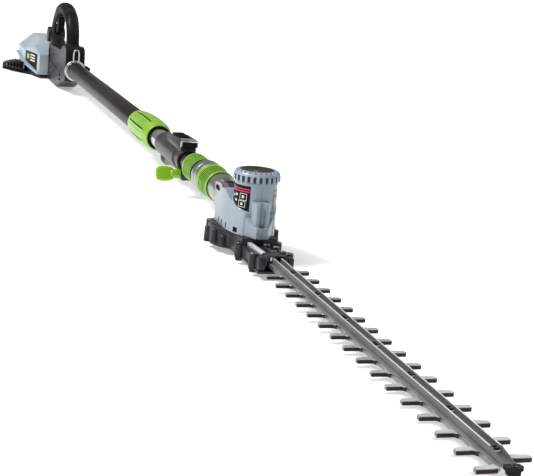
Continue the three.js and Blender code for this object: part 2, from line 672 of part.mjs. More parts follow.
function coupler() {
  const flange = shapeOf([
    [at(1098), AXIS_Z], [at(1098), AXIS_Z - 22], [at(1086), AXIS_Z - 26], [at(1058), AXIS_Z - 26],
    [at(1044), AXIS_Z - 20], [at(990), AXIS_Z - 18], [at(982), AXIS_Z - 28], [at(958.5), AXIS_Z - 28],
    [at(958.5), AXIS_Z],
  ]);
  let body = join(
    rodX(at(1099), at(984), 17.2),
    rodX(at(986), at(958), 15.4),
    plateY(flange, -6.5, 6.5),
    box(at(1046), at(960), -11, 11, AXIS_Z, AXIS_Z + 18.5),
  );
  body = cut(
    body,
    rodX(at(1106), at(1048), TUBE_R + GAP),
    rodX(at(1045), at(946), SHAFT_R + GAP),
    rodX(at(1056), at(1036), SHAFT_R - 1),
    rodY(CLAMP_X, CLAMP_Z, 3.3, -20, 20),
    box(at(996), at(946), -0.8, 0.8, AXIS_Z - 40, AXIS_Z - 10),
    box(at(1020), at(990), -6.3, 6.3, AXIS_Z + SHAFT_R + 1, AXIS_Z + 30),
  );
  part('coupler_body', body, CASTING);

  const base = AXIS_Z + 18.8;
  const side = shapeOf([
    [at(1048), base], [at(1038), AXIS_Z + 25], [at(970), AXIS_Z + 28.5], [at(960), AXIS_Z + 26.5],
    [at(958), base],
  ]);
  const frame = cut(
    plateY(side, -12, 12),
    box(at(1030), at(980), -8.5, 8.5, AXIS_Z + 15, AXIS_Z + 40),
  );
  part('latch_frame', frame, DARK_STEEL);
  const button = join(
    box(at(1029.6), at(980.4), -8.1, 8.1, base + 4.4, AXIS_Z + 29),
    box(at(1016), at(994), -5.4, 5.4, base + 0.9, base + 5),
  );
  part('release_button', button, BLACK_PLASTIC);
  const spring = cut(
    rodZ(at(1005), 0, 4, AXIS_Z + SHAFT_R + 1.4, AXIS_Z + 16.2, 4, FINE),
    rodZ(at(1005), 0, 2.6, AXIS_Z + SHAFT_R, AXIS_Z + 18, 2.6, FINE),
  );
  part('button_spring', spring, STEEL);
}

function clamp() {
  const bolt = join(
    rodY(CLAMP_X, CLAMP_Z, 3, -7, 12, 16),
    rodY(CLAMP_X, CLAMP_Z, 5.5, 6.5 + GAP, 11, 6),
  );
  part('clamp_bolt', bolt, STEEL);
  const wing = new THREE.Shape();
  wing.moveTo(-9, -2.4);
  wing.quadraticCurveTo(-11.5, 0, -9, 2.4);
  wing.quadraticCurveTo(0, 6, 9, 2.4);
  wing.quadraticCurveTo(11.5, 0, 9, -2.4);
  wing.quadraticCurveTo(0, -6, -9, -2.4);
  const lean = 1.2; // how far the wings stand up at rest, in radians
  const blank = new THREE.ExtrudeGeometry(wing, { depth: 25, bevelEnabled: false, curveSegments: 4 });
  blank.rotateX(Math.PI / 2).rotateY(lean).translate(CLAMP_X, -17, CLAMP_Z);
  const knob = join(solid(blank), rodY(CLAMP_X, CLAMP_Z, 6.5, -22, -6.5 - GAP));
  part('clamp_knob', cut(knob, rodY(CLAMP_X, CLAMP_Z, 3.3, -11, 0)), GREEN_PLASTIC);
}

// ---- telescopic pole ----------------------------------------------------------------------------

function pole() {
  const tube = cut(rodX(at(1930), at(1049), TUBE_R), rodX(at(1940), at(1040), TUBE_R - 1.5));
  part('inner_tube', tube, STEEL);
  const outer = cut(
    rodX(at(POLE_BACK), at(POLE_FRONT), POLE_R),
    rodX(at(POLE_BACK + 5), at(POLE_FRONT - 5), POLE_R - POLE_WALL),
  );
  part('outer_pole', outer, CARBON);
  const collar = turned([
    [at(COLLAR_BACK), POLE_R + GAP], [at(1178), POLE_R + GAP], [at(1178), POLE_R + 1],
    [at(COLLAR_FRONT), POLE_R + 1], [at(COLLAR_FRONT), 19.8], [at(1157), 22.6], [at(1170), 23.4],
    [at(1205), 24], [at(1240), 23.4], [at(1275), 20.8], [at(COLLAR_BACK), 19.2],
  ]);
  part('twist_collar', collar, GREEN_PLASTIC);
  const collet = cut(
    rodX(at(1177), at(1149), POLE_R + 0.6),
    rodX(at(1180), at(1140), TUBE_R + GAP),
  );
  part('pole_collet', collet, BLACK_PLASTIC);
}

// ---- rear unit ----------------------------------------------------------------------------------

const LOOP = [
  [at(1982), AXIS_Z + 8], [at(1984), AXIS_Z + 48], [at(1992), AXIS_Z + 76], [at(2014), AXIS_Z + 98],
  [at(2056), AXIS_Z + 111], [at(2104), AXIS_Z + 114], [at(2148), AXIS_Z + 106], [at(2184), AXIS_Z + 84],
  [at(2208), AXIS_Z + 52], [at(2218), AXIS_Z + 22],
];

const LOOP_HALF = 12.5; // half thickness of the handle loop seen from the side

// The handle with the front of the rear unit under it, as one solid before it is split and hollowed.
function handleBody() {
  const trunk = new THREE.Shape();
  trunk.moveTo(at(1938), AXIS_Z - 24);
  trunk.lineTo(at(1938), AXIS_Z + 30);
  trunk.quadraticCurveTo(at(1944), AXIS_Z + 46, at(1962), AXIS_Z + 48);
  trunk.quadraticCurveTo(at(1996), AXIS_Z + 44, at(2012), AXIS_Z + 34);
  trunk.lineTo(at(2186), AXIS_Z + 30);
  trunk.lineTo(at(2186), AXIS_Z - 50);
  trunk.lineTo(at(2050), AXIS_Z - 50);
  trunk.lineTo(at(1990), AXIS_Z - 32);
  return join(
    plateY(ribbon(LOOP, LOOP_HALF), -14, 14),
    plateY(trunk, -20, 20),
    rodY(at(2222), AXIS_Z + 48, 17, -19, 19, SEGMENTS),
  );
}

function handles() {
  const bore = rodX(at(1995), at(1930), POLE_R + GAP);
  const room = cut(box(at(2180), at(2010), -16, 16, AXIS_Z - 44, AXIS_Z + 24), rodX(at(2000), at(1900), 26));
  const throat = rodX(at(2020), at(1990), 12);
  const behindHood = box(at(2300), at(2189), -70, 70, AXIS_Z - 60, AXIS_Z + 29);
  const grip = plateY(ribbon(LOOP, LOOP_HALF - 3), -10.5, 10.5);
  const body = cut(handleBody(), bore, room, throat, grip, triggerBay(), lockBay(), behindHood);
  const half = (y0, y1) => body.intersect(box(at(2300), at(1900), y0, y1, -5, 300));
  part('handle_shell_left', half(GAP / 2, 60), BLACK_PLASTIC);
  part('handle_shell_right', half(-60, -GAP / 2), BLACK_PLASTIC);
}

// The slot in the rear leg of the loop that the trigger closes, open towards the loop.
function triggerBay() {
  const shape = shapeOf([
    [at(2172), AXIS_Z + 96], [at(2124), AXIS_Z + 100], [at(2134), AXIS_Z + 50], [at(2204), AXIS_Z + 50],
  ]);
  return plateY(shape, -7.5, 7.5);
}

// The slot in the outside of the same leg for the lock-off lever.
function lockBay() {
  return plateY(
    shapeOf([
      [at(2164), AXIS_Z + 116], [at(2168), AXIS_Z + 97], [at(2194), AXIS_Z + 66], [at(2240), AXIS_Z + 76],
      [at(2206), AXIS_Z + 140],
    ]), -6.5, 6.5);
}

const TRIGGER_PIVOT = [2156, 91];

function controls() {
  const [back, up] = TRIGGER_PIVOT;
  const shape = new THREE.Shape();
  shape.moveTo(at(back + 4), AXIS_Z + up - 1);
  shape.lineTo(at(back - 12), AXIS_Z + up);
  shape.quadraticCurveTo(at(back - 11), AXIS_Z + up - 22, at(back + 12), AXIS_Z + up - 37);
  shape.lineTo(at(back + 22), AXIS_Z + up - 34);
  part('trigger', plateY(shape, -6.8, 6.8), BLACK_PLASTIC);
  const lever = shapeOf([
    [at(2172), AXIS_Z + 108], [at(2176), AXIS_Z + 100], [at(2196), AXIS_Z + 74], [at(2204), AXIS_Z + 77],
    [at(2184), AXIS_Z + 108],
  ]);
  part('lock_off_lever', plateY(lever, -6, 6), GREEN_PLASTIC);
}

function poleEnd() {
  const ring = cut(rodX(at(1937.6), at(1931), 21.5), rodX(at(1940), at(1925), POLE_R + GAP));
  part('pole_end_ring', ring, STEEL);
  const outline = new THREE.Shape();
  outline.moveTo(-7, AXIS_Z + 22);
  outline.lineTo(-7, AXIS_Z + 38);
  outline.absarc(0, AXIS_Z + 38, 7, Math.PI, 0, true);
  outline.lineTo(7, AXIS_Z + 22);
  outline.closePath();
  const hole = new THREE.Path();
  hole.absarc(0, AXIS_Z + 37.5, 4.4, 0, Math.PI, false);
  hole.lineTo(-4.4, AXIS_Z + 25);
  hole.lineTo(4.4, AXIS_Z + 25);
  hole.closePath();
  outline.holes.push(hole);
  const foot = box(at(1930.6), at(1924), -7, 7, AXIS_Z + POLE_R - 2, AXIS_Z + 23);
  const eyelet = cut(
    join(plateX(outline, at(1930.6), at(1927.4)), foot),
    rodX(at(1940), at(1900), POLE_R + GAP),
  );
  part('harness_eyelet', eyelet, STEEL);
}

// Faceted grey hood over the electronics and the battery bay, open below and behind.
function hoodBody(inset) {
  const i = inset;
  const plan = shapeOf([
    [at(2190) - i, -38 + i], [at(2290), -60 + i], [at(2399.5), -60 + i],
    [at(2399.5), 60 - i], [at(2290), 60 - i], [at(2190) - i, 38 - i],
  ]);
  const side = shapeOf([
    [at(2190) - i, AXIS_Z - 43], [at(2190) - i, AXIS_Z + 2], [at(2262), AXIS_Z + 31 - i],
    [at(2399.5), AXIS_Z + 31 - i], [at(2399.5), AXIS_Z - 43],
  ]);
  const front = shapeOf([
    [-70, AXIS_Z - 43], [-70, AXIS_Z - 20], [-58 + i, AXIS_Z + 4], [-27 + i / 2, AXIS_Z + 31 - i],
    [27 - i / 2, AXIS_Z + 31 - i], [58 - i, AXIS_Z + 4], [70, AXIS_Z - 20], [70, AXIS_Z - 43],
  ]);
  return plateZ(plan, 0, 120).intersect(plateY(side, -90, 90)).intersect(plateX(front, at(2400), at(2180)));
}

function rearUnit() {
  const rim = plateZ(
    shapeOf([
      [at(2188), -42], [at(2290), -66], [at(2400), -66], [at(2400), 66], [at(2290), 66], [at(2188), 42],
    ]), AXIS_Z - 43, AXIS_Z - 38);
  const hollow = join(hoodBody(3), box(at(2396), at(2410), -46, 46, AXIS_Z - 60, AXIS_Z + 24));
  const hood = cut(
    join(hoodBody(0), rim),
    hollow.intersect(box(at(2420), at(2100), -80, 80, AXIS_Z - 37.9, 200)),
    box(at(2410), at(2200), -50, 50, AXIS_Z - 60, AXIS_Z - 30),
    rodY(at(2222), AXIS_Z + 48, 17.4, -19.6, 19.6, SEGMENTS),
    box(at(2240), at(2180), -19.6, 19.6, AXIS_Z + 29.5, AXIS_Z + 70),
  );
  part('rear_hood', hood, GREY_PLASTIC);

  const plan = shapeOf([
    [at(2189), -30], [at(2240), -52], [at(2399.5), -56], [at(2399.5), 56], [at(2240), 52], [at(2189), 30],
  ]);
  const under = AXIS_Z - 43.3; // top of the base plate, just under the hood
  const base = cut(
    plateZ(plan, 0, under),
    plateZ(standOutline(GAP), -1, STAND_T + GAP),
    box(at(2400), at(2210), -44, 44, -1, 3),
  );
  const bay = cut(
    box(at(2399.5), at(2256), -48, 48, under - 0.4, AXIS_Z + 8),
    box(at(2410), at(2260), -45, 45, under + 3.4, AXIS_Z + 5),
  );
  const well = cut(
    box(at(2257), at(2204), -36, 36, under - 0.4, AXIS_Z - 22),
    box(at(2252), at(2208), -32, 32, under + 3.4, AXIS_Z),
  );
  part('battery_housing', join(base, bay, well), BLACK_PLASTIC);

  const board = box(at(2250), at(2210), -28, 28, under + 8, under + 10.5);
  part('control_board', board, BOARD);
  const terminals = join(
    box(at(2268), at(2260.4), -22, 22, under + 3.8, under + 24),
    ...[-15, -5, 5, 15].map((y) => box(at(2284), at(2266), y - 0.8, y + 0.8, under + 8, under + 20)),
  );
  part('battery_terminals', terminals, BLACK_PLASTIC);
}

// Outline of the stand from above, grown outwards by the given clearance: two splayed arms on a bar.
function standOutline(grow) {
  const g = grow;
  return shapeOf([
    [at(2244) + g, 44 + g], [at(2262) + g, 57 + g], [at(2340) + g, 102.5 + g], [at(2358) - g, 102.5 + g],
    [at(2358) - g, 90 - g], [at(2318) - g, 64 - g], [at(2290) - g, 44 - g], [at(2290) - g, -44 + g],
    [at(2318) - g, -64 + g], [at(2358) - g, -90 + g], [at(2358) - g, -102.5 - g], [at(2340) + g, -102.5 - g],
    [at(2262) + g, -57 - g], [at(2244) + g, -44 - g],
  ]);
}

function rearStand() {
  const foot = plateZ(standOutline(0), 0, STAND_T);
  const arms = plateZ(standOutline(0), 0, 26).intersect(join(
    plateX(shapeOf([[67, 1], [67, 26], [75, 24], [103, 14], [103, 1]]), at(2360), at(2240)),
    plateX(shapeOf([[-67, 1], [-67, 26], [-75, 24], [-103, 14], [-103, 1]]), at(2360), at(2240)),
  ));
  part('rear_stand', join(foot, arms), BLACK_PLASTIC);
}

// ---- assembly -----------------------------------------------------------------------------------

blade(BLADE_BASE_Z, 'lower_blade');
blade(BLADE_BASE_Z + BLADE_T + GAP, 'upper_blade');
rail();
railBolts();
noseGuard();
casting();
bottomCover();
gearboxBolts();
driveGear();
motor();
housing();
motorCap();
warningLabel();
pivotYoke();
lockSleeve();
sleeveSpring();
headShaft();
coupler();
clamp();
pole();
handles();
controls();
poleEnd();
rearUnit();
rearStand();

export default group;
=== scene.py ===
import math
import bpy
import bmesh
from mathutils import Matrix, Vector
from mathutils.geometry import tessellate_polygon


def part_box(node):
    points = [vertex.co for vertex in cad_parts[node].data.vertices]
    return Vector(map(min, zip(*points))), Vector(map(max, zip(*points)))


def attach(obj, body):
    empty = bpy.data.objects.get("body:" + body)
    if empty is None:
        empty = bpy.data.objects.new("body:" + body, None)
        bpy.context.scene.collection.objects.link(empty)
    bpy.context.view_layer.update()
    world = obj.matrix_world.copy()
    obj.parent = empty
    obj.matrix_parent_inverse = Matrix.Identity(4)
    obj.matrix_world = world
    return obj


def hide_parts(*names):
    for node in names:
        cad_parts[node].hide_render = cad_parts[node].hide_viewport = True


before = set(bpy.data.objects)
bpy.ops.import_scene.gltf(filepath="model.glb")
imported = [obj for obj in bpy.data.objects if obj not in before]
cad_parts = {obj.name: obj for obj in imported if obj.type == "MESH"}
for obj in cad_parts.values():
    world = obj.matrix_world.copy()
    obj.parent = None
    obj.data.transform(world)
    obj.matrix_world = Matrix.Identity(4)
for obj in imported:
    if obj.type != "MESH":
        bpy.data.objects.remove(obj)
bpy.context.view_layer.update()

# Telescopic pole hedge trimmer. Metres; +X to the blade tip, +Y to the user's left, +Z up.
# Sizes in the calls below are millimetres, and lengths along the tool are counted back from the tip.

MM = 0.001
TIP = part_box("upper_blade")[1].x / MM
AXIS = 52.0  # height of the pole axis
scene = bpy.context.scene


def at(back):
    return TIP - back


def over(z):
    return AXIS + z


def behind(*points):
    """Points given by distance behind the tip and a radius, an offset or a height."""
    return [(at(back), value) for back, value in points]


def elevation(*points):
    """Points of a side view given by distance behind the tip and height over the pole axis."""
    return [(at(back), over(z)) for back, z in points]


def mirrored(*points):
    """A plan outline given like behind() on one side, and repeated on the other side."""
    side = behind(*points)
    return side + [(x, -y) for x, y in reversed(side)]


def rod(lo, hi, r):
    """The lathe profile of a solid rod."""
    return [(lo, 0), (lo, r), (hi, r), (hi, 0)]


def pipe(lo, hi, inner, outer):
    """The lathe profile of a tube."""
    return [(lo, inner), (lo, outer), (hi, outer), (hi, inner)]


# ---- meshes ----


def new_object(name, verts, faces):
    """A mesh object from corner positions in millimetres."""
    mesh = bpy.data.meshes.new(name)
    mesh.from_pydata([Vector(v) * MM for v in verts], [], faces)
    mesh.validate()
    obj = bpy.data.objects.new(name, mesh)
    scene.collection.objects.link(obj)
    outward(obj)
    return obj


def outward(obj):
    bm = bmesh.new()
    bm.from_mesh(obj.data)
    bmesh.ops.remove_doubles(bm, verts=bm.verts, dist=1e-6)
    bmesh.ops.recalc_face_normals(bm, faces=bm.faces)
    bm.to_mesh(obj.data)
    bm.free()


def settle(obj):
    """Applies the object's modifiers to its mesh."""
    bpy.context.view_layer.update()
    graph = bpy.context.evaluated_depsgraph_get()
    mesh = bpy.data.meshes.new_from_object(obj.evaluated_get(graph))
    obj.modifiers.clear()
    obj.data = mesh
    return obj


def rounded(points, r, steps=3):
    """A closed outline with each corner cut to a small curve."""
    out = []
    n = len(points)
    for i in range(n):
        p = Vector(points[i])
        a = Vector(points[i - 1]) - p
        b = Vector(points[(i + 1) % n]) - p
        if a.length < 1e-6 or b.length < 1e-6 or a.angle(b) > math.pi - 0.06:
            out.append(p)
            continue
        cut = min(r, 0.42 * a.length, 0.42 * b.length)
        start = p + a.normalized() * cut
        end = p + b.normalized() * cut
        for k in range(steps + 1):
            t = k / steps
            out.append(start * (1 - t) ** 2 + p * (2 * t * (1 - t)) + end * t * t)
    return [(v.x, v.y) for v in out]


def smooth_path(points, steps=8):
    """A Catmull-Rom line through the points."""
    pts = [Vector(p) for p in points]
    pts = [2 * pts[0] - pts[1]] + pts + [2 * pts[-1] - pts[-2]]
    out = []
    for i in range(1, len(pts) - 2):
        a, b, c, d = pts[i - 1 : i + 3]
        for k in range(steps):
            t = k / steps
            out.append(0.5 * (2 * b + (c - a) * t + (2 * a - 5 * b + 4 * c - d) * t * t
                       + (3 * b - a - 3 * c + d) * t ** 3))
    out.append(pts[-2])
    return out


def bezier(a, b, c, steps=8):
    """Points from a to c on a curve pulled towards b, without the last one."""
    out = []
    for k in range(steps):
        t = k / steps
        out.append(tuple((1 - t) ** 2 * p + 2 * t * (1 - t) * q + t * t * r for p, q, r in zip(a, b, c)))
    return out


def lathe(name, profile, segments=96, r=0.5, axis="X", centre=(0.0, AXIS), ripple=None):
    """A closed profile of (position, radius) turned about the X, Y or Z axis.
    ripple(angle, position, radius) gives a radius to use in its place."""
    ring = rounded(profile, r) if r else list(profile)
    verts = []
    for k in range(segments):
        angle = 2 * math.pi * k / segments
        for s, rad in ring:
            if ripple:
                rad = ripple(angle, s, rad)
            a, b = rad * math.cos(angle), rad * math.sin(angle)
            if axis == "X":
                verts.append((s, centre[0] + a, centre[1] + b))
            elif axis == "Y":
                verts.append((centre[0] + a, s, centre[1] + b))
            else:
                verts.append((centre[0] + a, centre[1] + b, s))
    n = len(ring)
    faces = []
    for k in range(segments):
        for i in range(n):
            j = (i + 1) % n
            m = (k + 1) % segments
            faces.append((k * n + i, k * n + j, m * n + j, m * n + i))
    return new_object(name, verts, faces)


def prism(name, outline, lo, hi, plane="XY", holes=(), bevel=0.0, segments=2):
    """An outline, with holes, given thickness along the axis its plane leaves out."""
    loops = [list(outline)] + [list(h) for h in holes]
    flat = [p for loop in loops for p in loop]

    def place(p, h):
        if plane == "XY":
            return (p[0], p[1], h)
        if plane == "XZ":
            return (p[0], h, p[1])
        return (h, p[0], p[1])

    verts = [place(p, lo) for p in flat] + [place(p, hi) for p in flat]
    n = len(flat)
    faces = []
    for tri in tessellate_polygon([[Vector((p[0], p[1], 0)) for p in loop] for loop in loops]):
        faces.append(tuple(tri))
        faces.append(tuple(i + n for i in reversed(tri)))
    start = 0
    for loop in loops:
        m = len(loop)
        for i in range(m):
            a, b = start + i, start + (i + 1) % m
            faces.append((a, b, b + n, a + n))
        start += m
    obj = new_object(name, verts, faces)
    if bevel:
        soften(obj, bevel, segments)
    return obj


def soften(obj, width, segments=2, angle=30):
    bev = obj.modifiers.new("bevel", "BEVEL")
    bev.width = width * MM
    bev.segments = segments
    bev.limit_method = "ANGLE"
    bev.angle_limit = math.radians(angle)
    bev.use_clamp_overlap = True
    return settle(obj)


def block(name, x0, x1, y0, y1, z0, z1, bevel=0.5, segments=2):
    outline = [(x0, y0), (x1, y0), (x1, y1), (x0, y1)]
    return prism(name, outline, z0, z1, bevel=bevel, segments=segments)


def circle(x, y, r, n=32, start=0.0, end=2 * math.pi):
    whole = abs(end - start) > 6.28
    count = n if whole else n + 1
    return [(x + r * math.cos(start + (end - start) * k / n), y
             + r * math.sin(start + (end - start) * k / n)) for k in range(count)]


def slot_outline(x, y, half_long, half_wide, n=8):
    run = half_long - half_wide
    return (circle(x + run, y, half_wide, n, -math.pi / 2, math.pi / 2)
            + circle(x - run, y, half_wide, n, math.pi / 2, 1.5 * math.pi))


def sweep(name, path, ring, up=(0, 1, 0)):
    """A section of (side, up) points carried along a path of 3-D points, with closed ends."""
    pts = [Vector(p) for p in path]
    up = Vector(up)
    n, count = len(pts), len(ring)
    verts = []
    for i, p in enumerate(pts):
        along = (pts[min(i + 1, n - 1)] - pts[max(i - 1, 0)]).normalized()
        side = along.cross(up).normalized()
        high = side.cross(along).normalized()
        verts += [p + side * u + high * v for u, v in ring]
    faces = []
    for i in range(n - 1):
        for k in range(count):
            m = (k + 1) % count
            faces.append((i * count + k, i * count + m, (i + 1) * count + m, (i + 1) * count + k))
    faces.append(tuple(range(count)))
    faces.append(tuple((n - 1) * count + k for k in reversed(range(count))))
    return new_object(name, verts, faces)


def superellipse(half_a, half_b, power, n):
    out = []
    for k in range(n):
        a = 2 * math.pi * k / n
        c, s = math.cos(a), math.sin(a)
        out.append((half_a * math.copysign(abs(c) ** (2 / power), c),
                    half_b * math.copysign(abs(s) ** (2 / power), s)))
    return out


def combine(obj, *others, how="UNION"):
    """A boolean of obj with the others, which are used up."""
    for other in others:
        mod = obj.modifiers.new("bool", "BOOLEAN")
        mod.operation = how
        mod.solver = "EXACT"
        mod.object = other
    settle(obj)
    for other in others:
        bpy.data.objects.remove(other)
    return obj


def carve(obj, *tools):
    return combine(obj, *tools, how="DIFFERENCE")


def keep(obj, *tools):
    return combine(obj, *tools, how="INTERSECT")


def two_views(name, plan, z0, z1, side_view, half):
    """The solid that a plan and a side view have in common."""
    return keep(prism(name, plan, z0, z1), prism(name, side_view, -half, half, plane="XZ"))


def melt(obj, voxel, passes):
    """Blends the joints of a union: an even remesh, then a light smoothing."""
    mod = obj.modifiers.new("remesh", "REMESH")
    mod.mode = "VOXEL"
    mod.voxel_size = voxel * MM
    mod.adaptivity = 0
    settle(obj)
    mod = obj.modifiers.new("smooth", "SMOOTH")
    mod.factor = 0.5
    mod.iterations = passes
    return settle(obj)


def merge(obj, *others):
    """Puts the others' meshes into obj as they are."""
    bm = bmesh.new()
    bm.from_mesh(obj.data)
    for other in others:
        bm.from_mesh(other.data)
        bpy.data.objects.remove(other)
    bm.to_mesh(obj.data)
    bm.free()
    return obj


def done(obj, body, slot, material, *replaced, angle=35):
    """Shades a piece, gives it its material, and hangs it on its body."""
    obj.data.materials.clear()
    obj.data.materials.append(material)
    obj.data.shade_smooth()
    obj.data.set_sharp_from_angle(angle=math.radians(angle))
    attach(obj, body)
    if replaced:
        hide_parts(*replaced)
    return obj


def paint_faces(obj, material, wanted):
    """Gives a second material to the faces whose centre and normal are wanted."""
    obj.data.materials.append(material)
    last = len(obj.data.materials) - 1
    for face in obj.data.polygons:
        if wanted(face.center, face.normal):
            face.material_index = last


# ---- materials ----


class Graph:
    """Shorthand for building a material's nodes. Textures read object positions, in metres."""

    def __init__(self, name):
        self.material = bpy.data.materials.new(name)
        self.material.use_nodes = True
        self.tree = self.material.node_tree
        self.shader = self.tree.nodes["Principled BSDF"]
        self.coords = self.tree.nodes.new("ShaderNodeTexCoord").outputs["Object"]

    def set(self, **values):
        for key, value in values.items():
            self.shader.inputs[key.replace("_", " ")].default_value = value

    def link(self, output, key):
        self.tree.links.new(output, self.shader.inputs[key])

    def node(self, kind, inputs=None, **settings):
        made = self.tree.nodes.new(kind)
        for key, value in settings.items():
            setattr(made, key, value)
        for key, value in (inputs or {}).items():
            if isinstance(value, bpy.types.NodeSocket):
                self.tree.links.new(value, made.inputs[key])
            else:
                made.inputs[key].default_value = value
        return made

    def stretched(self, x, y, z):
        made = self.node("ShaderNodeMapping", {"Vector": self.coords, "Scale": (x, y, z)})
        return made.outputs[0]

    def noise(self, scale, detail=4.0, roughness=0.55, where=None):
        made = self.node("ShaderNodeTexNoise", {"Vector": where or self.coords, "Scale": scale,
            "Detail": detail, "Roughness": roughness})
        return made.outputs["Fac"]

    def ramp(self, value, low, high, lo_at=0.35, hi_at=0.65):
        made = self.node("ShaderNodeValToRGB", {"Fac": value})
        ends = made.color_ramp.elements
        ends[0].position, ends[0].color = lo_at, (*low, 1)
        ends[1].position, ends[1].color = hi_at, (*high, 1)
        return made.outputs["Color"]

    def span(self, value, low, high):
        made = self.node("ShaderNodeMapRange", {"Value": value, "To Min": low, "To Max": high})
        return made.outputs[0]

    def mix(self, share, a, b):
        made = self.node("ShaderNodeMix", data_type="RGBA")
        for socket, value in ((made.inputs[0], share), (made.inputs[6], a), (made.inputs[7], b)):
            if isinstance(value, bpy.types.NodeSocket):
                self.tree.links.new(value, socket)
            else:
                socket.default_value = value if isinstance(value, float) else (*value, 1)
        return made.outputs[2]

    def math(self, kind, a, b):
        return self.node("ShaderNodeMath", {0: a, 1: b}, operation=kind).outputs[0]

    def bump(self, height, strength, distance):
        made = self.node("ShaderNodeBump", {"Height": height, "Strength": strength,
            "Distance": distance * MM})
        self.link(made.outputs[0], "Normal")


def moulded(name, low, high, rough, grain=900.0, depth=0.05, coat=0.0, shine=0.5):
    """Moulded plastic: a slight drift of colour, spark-eroded grain and an uneven gloss."""
    g = Graph(name)
    drift = g.noise(14.0, 3.0)
    fine = g.noise(grain, 3.0, 0.6)
    colour = g.mix(0.18, g.ramp(drift, low, high), g.ramp(fine, low, high))
    g.link(colour, "Base Color")
    g.link(g.span(g.noise(60.0, 5.0), rough - 0.07, rough + 0.1), "Roughness")
    g.set(Coat_Weight=coat, Coat_Roughness=0.25, Specular_IOR_Level=shine)
    g.bump(fine, 0.35, depth)
    return g.material


def metal(name, low, high, rough, along=(1.0, 1.0, 1.0), streak=500.0, depth=0.02, metallic=1.0):
    """Machined or drawn metal: fine streaks along one direction, blotches of tarnish, uneven gloss."""
    g = Graph(name)
    streaks = g.noise(streak, 3.0, 0.6, g.stretched(*along))
    blotch = g.noise(35.0, 5.0, 0.6)
    colour = g.mix(0.45, g.ramp(blotch, low, high), g.ramp(streaks, low, high, 0.3, 0.7))
    g.link(colour, "Base Color")
    g.set(Metallic=metallic)
    g.link(g.span(g.math("ADD", g.math("MULTIPLY", streaks, 0.6), g.math("MULTIPLY", blotch, 0.4)),
                  rough - 0.1, rough + 0.16), "Roughness")
    g.bump(streaks, 0.25, depth)
    return g.material


def cast(name, low, high, rough):
    """Coated die casting: orange-peel grain over a slow unevenness."""
    g = Graph(name)
    peel = g.noise(420.0, 4.0, 0.6)
    slow = g.noise(45.0, 4.0)
    g.link(g.mix(0.3, g.ramp(slow, low, high), g.ramp(peel, low, high)), "Base Color")
    g.set(Metallic=0.25, Specular_IOR_Level=0.16)
    g.link(g.span(peel, rough - 0.08, rough + 0.12), "Roughness")
    g.bump(g.math("ADD", peel, g.math("MULTIPLY", slow, 0.5)), 0.4, 0.12)
    return g.material


# streaks that run along the tool, and bands across the blade
DRAWN = (1.0, 30.0, 30.0)
BANDS = (1.0, 12.0, 1.0)
GREY = moulded("grey_moulding", (0.22, 0.275, 0.325), (0.30, 0.365, 0.42), 0.36, coat=0.2)
# a lighter copy of the grey moulding for the hood: painted light
HOOD_LIT_GREY = moulded("hood_painted_light_grey", (0.32, 0.385, 0.44), (0.42, 0.49, 0.55), 0.34, coat=0.2)
# a darker grey for the faces inside the cap's flute recesses: painted shade
CAP_SHADE = moulded("cap_recess_painted_shade", (0.045, 0.06, 0.072), (0.09, 0.11, 0.13), 0.55, shine=0.2)
CAP_GREY = moulded("cap_moulding", (0.24, 0.30, 0.355), (0.33, 0.40, 0.455), 0.34, coat=0.2)
GREEN = moulded("green_moulding", (0.150, 0.36, 0.004), (0.245, 0.49, 0.009), 0.34, coat=0.2)
# a darker green for the low faces of grooves and seams and for the grip's neck: painted shade
GROOVE_SHADE_GREEN = moulded("groove_painted_shade", (0.018, 0.06, 0.001), (0.035, 0.10, 0.002), 0.6, shine=0.1)
BLACK = moulded("charcoal_moulding", (0.010, 0.010, 0.0105), (0.022, 0.022, 0.023), 0.27, coat=0.12,
                shine=0.02)
SOFT_BLACK = moulded("grip_rubber", (0.005, 0.005, 0.0055), (0.012, 0.012, 0.013), 0.5, 1500.0, 0.12,
                     shine=0.06)
CAST = cast("coated_casting", (0.022, 0.022, 0.025), (0.055, 0.055, 0.061), 0.32)
STEEL = metal("turned_steel", (0.20, 0.20, 0.205), (0.44, 0.44, 0.45), 0.28, (40.0, 1.0, 1.0), 60.0)
YOKE_METAL = metal("yoke_alloy", (0.24, 0.235, 0.23), (0.46, 0.45, 0.44), 0.28)
DARK_STEEL = metal("black_steel", (0.02, 0.02, 0.022), (0.06, 0.06, 0.064), 0.3)
BLADE = metal("blade_steel", (0.16, 0.16, 0.163), (0.34, 0.34, 0.345), 0.3, BANDS, 300.0)
# a bright metal for every upward face of the blades: partly the ground steel's own colour, partly a
# painted highlight
GROUND_TOP_AND_HIGHLIGHT = metal("ground_top_and_painted_highlight", (0.40, 0.40, 0.405), (0.66, 0.66, 0.67), 0.3, (12.0, 1.0, 1.0), 300.0,
                   0.02, 0.75)
# a near-black metal for the tooth faces that point towards the tip: painted shade
TOOTH_FACE_SHADE = metal("tooth_face_painted_shade", (0.006, 0.006, 0.0065), (0.022, 0.022, 0.023), 0.5, BANDS, 300.0,
                   0.05, 0.4)
RAIL = metal("rail_steel", (0.12, 0.12, 0.123), (0.20, 0.20, 0.204), 0.46, DRAWN, 60.0, 0.02, 0.5)
# bright metal: the own colour of the screw rings and the ridge strip, and a painted highlight on the
# rail's upper rims
BRIGHT_METAL_AND_HIGHLIGHT = metal("polished_metal_and_painted_highlight", (0.72, 0.72, 0.725), (0.9, 0.9, 0.905), 0.35, DRAWN, 60.0, 0.01, 0.4)
ALLOY = metal("drawn_alloy", (0.42, 0.42, 0.43), (0.70, 0.70, 0.71), 0.22, DRAWN, 60.0)
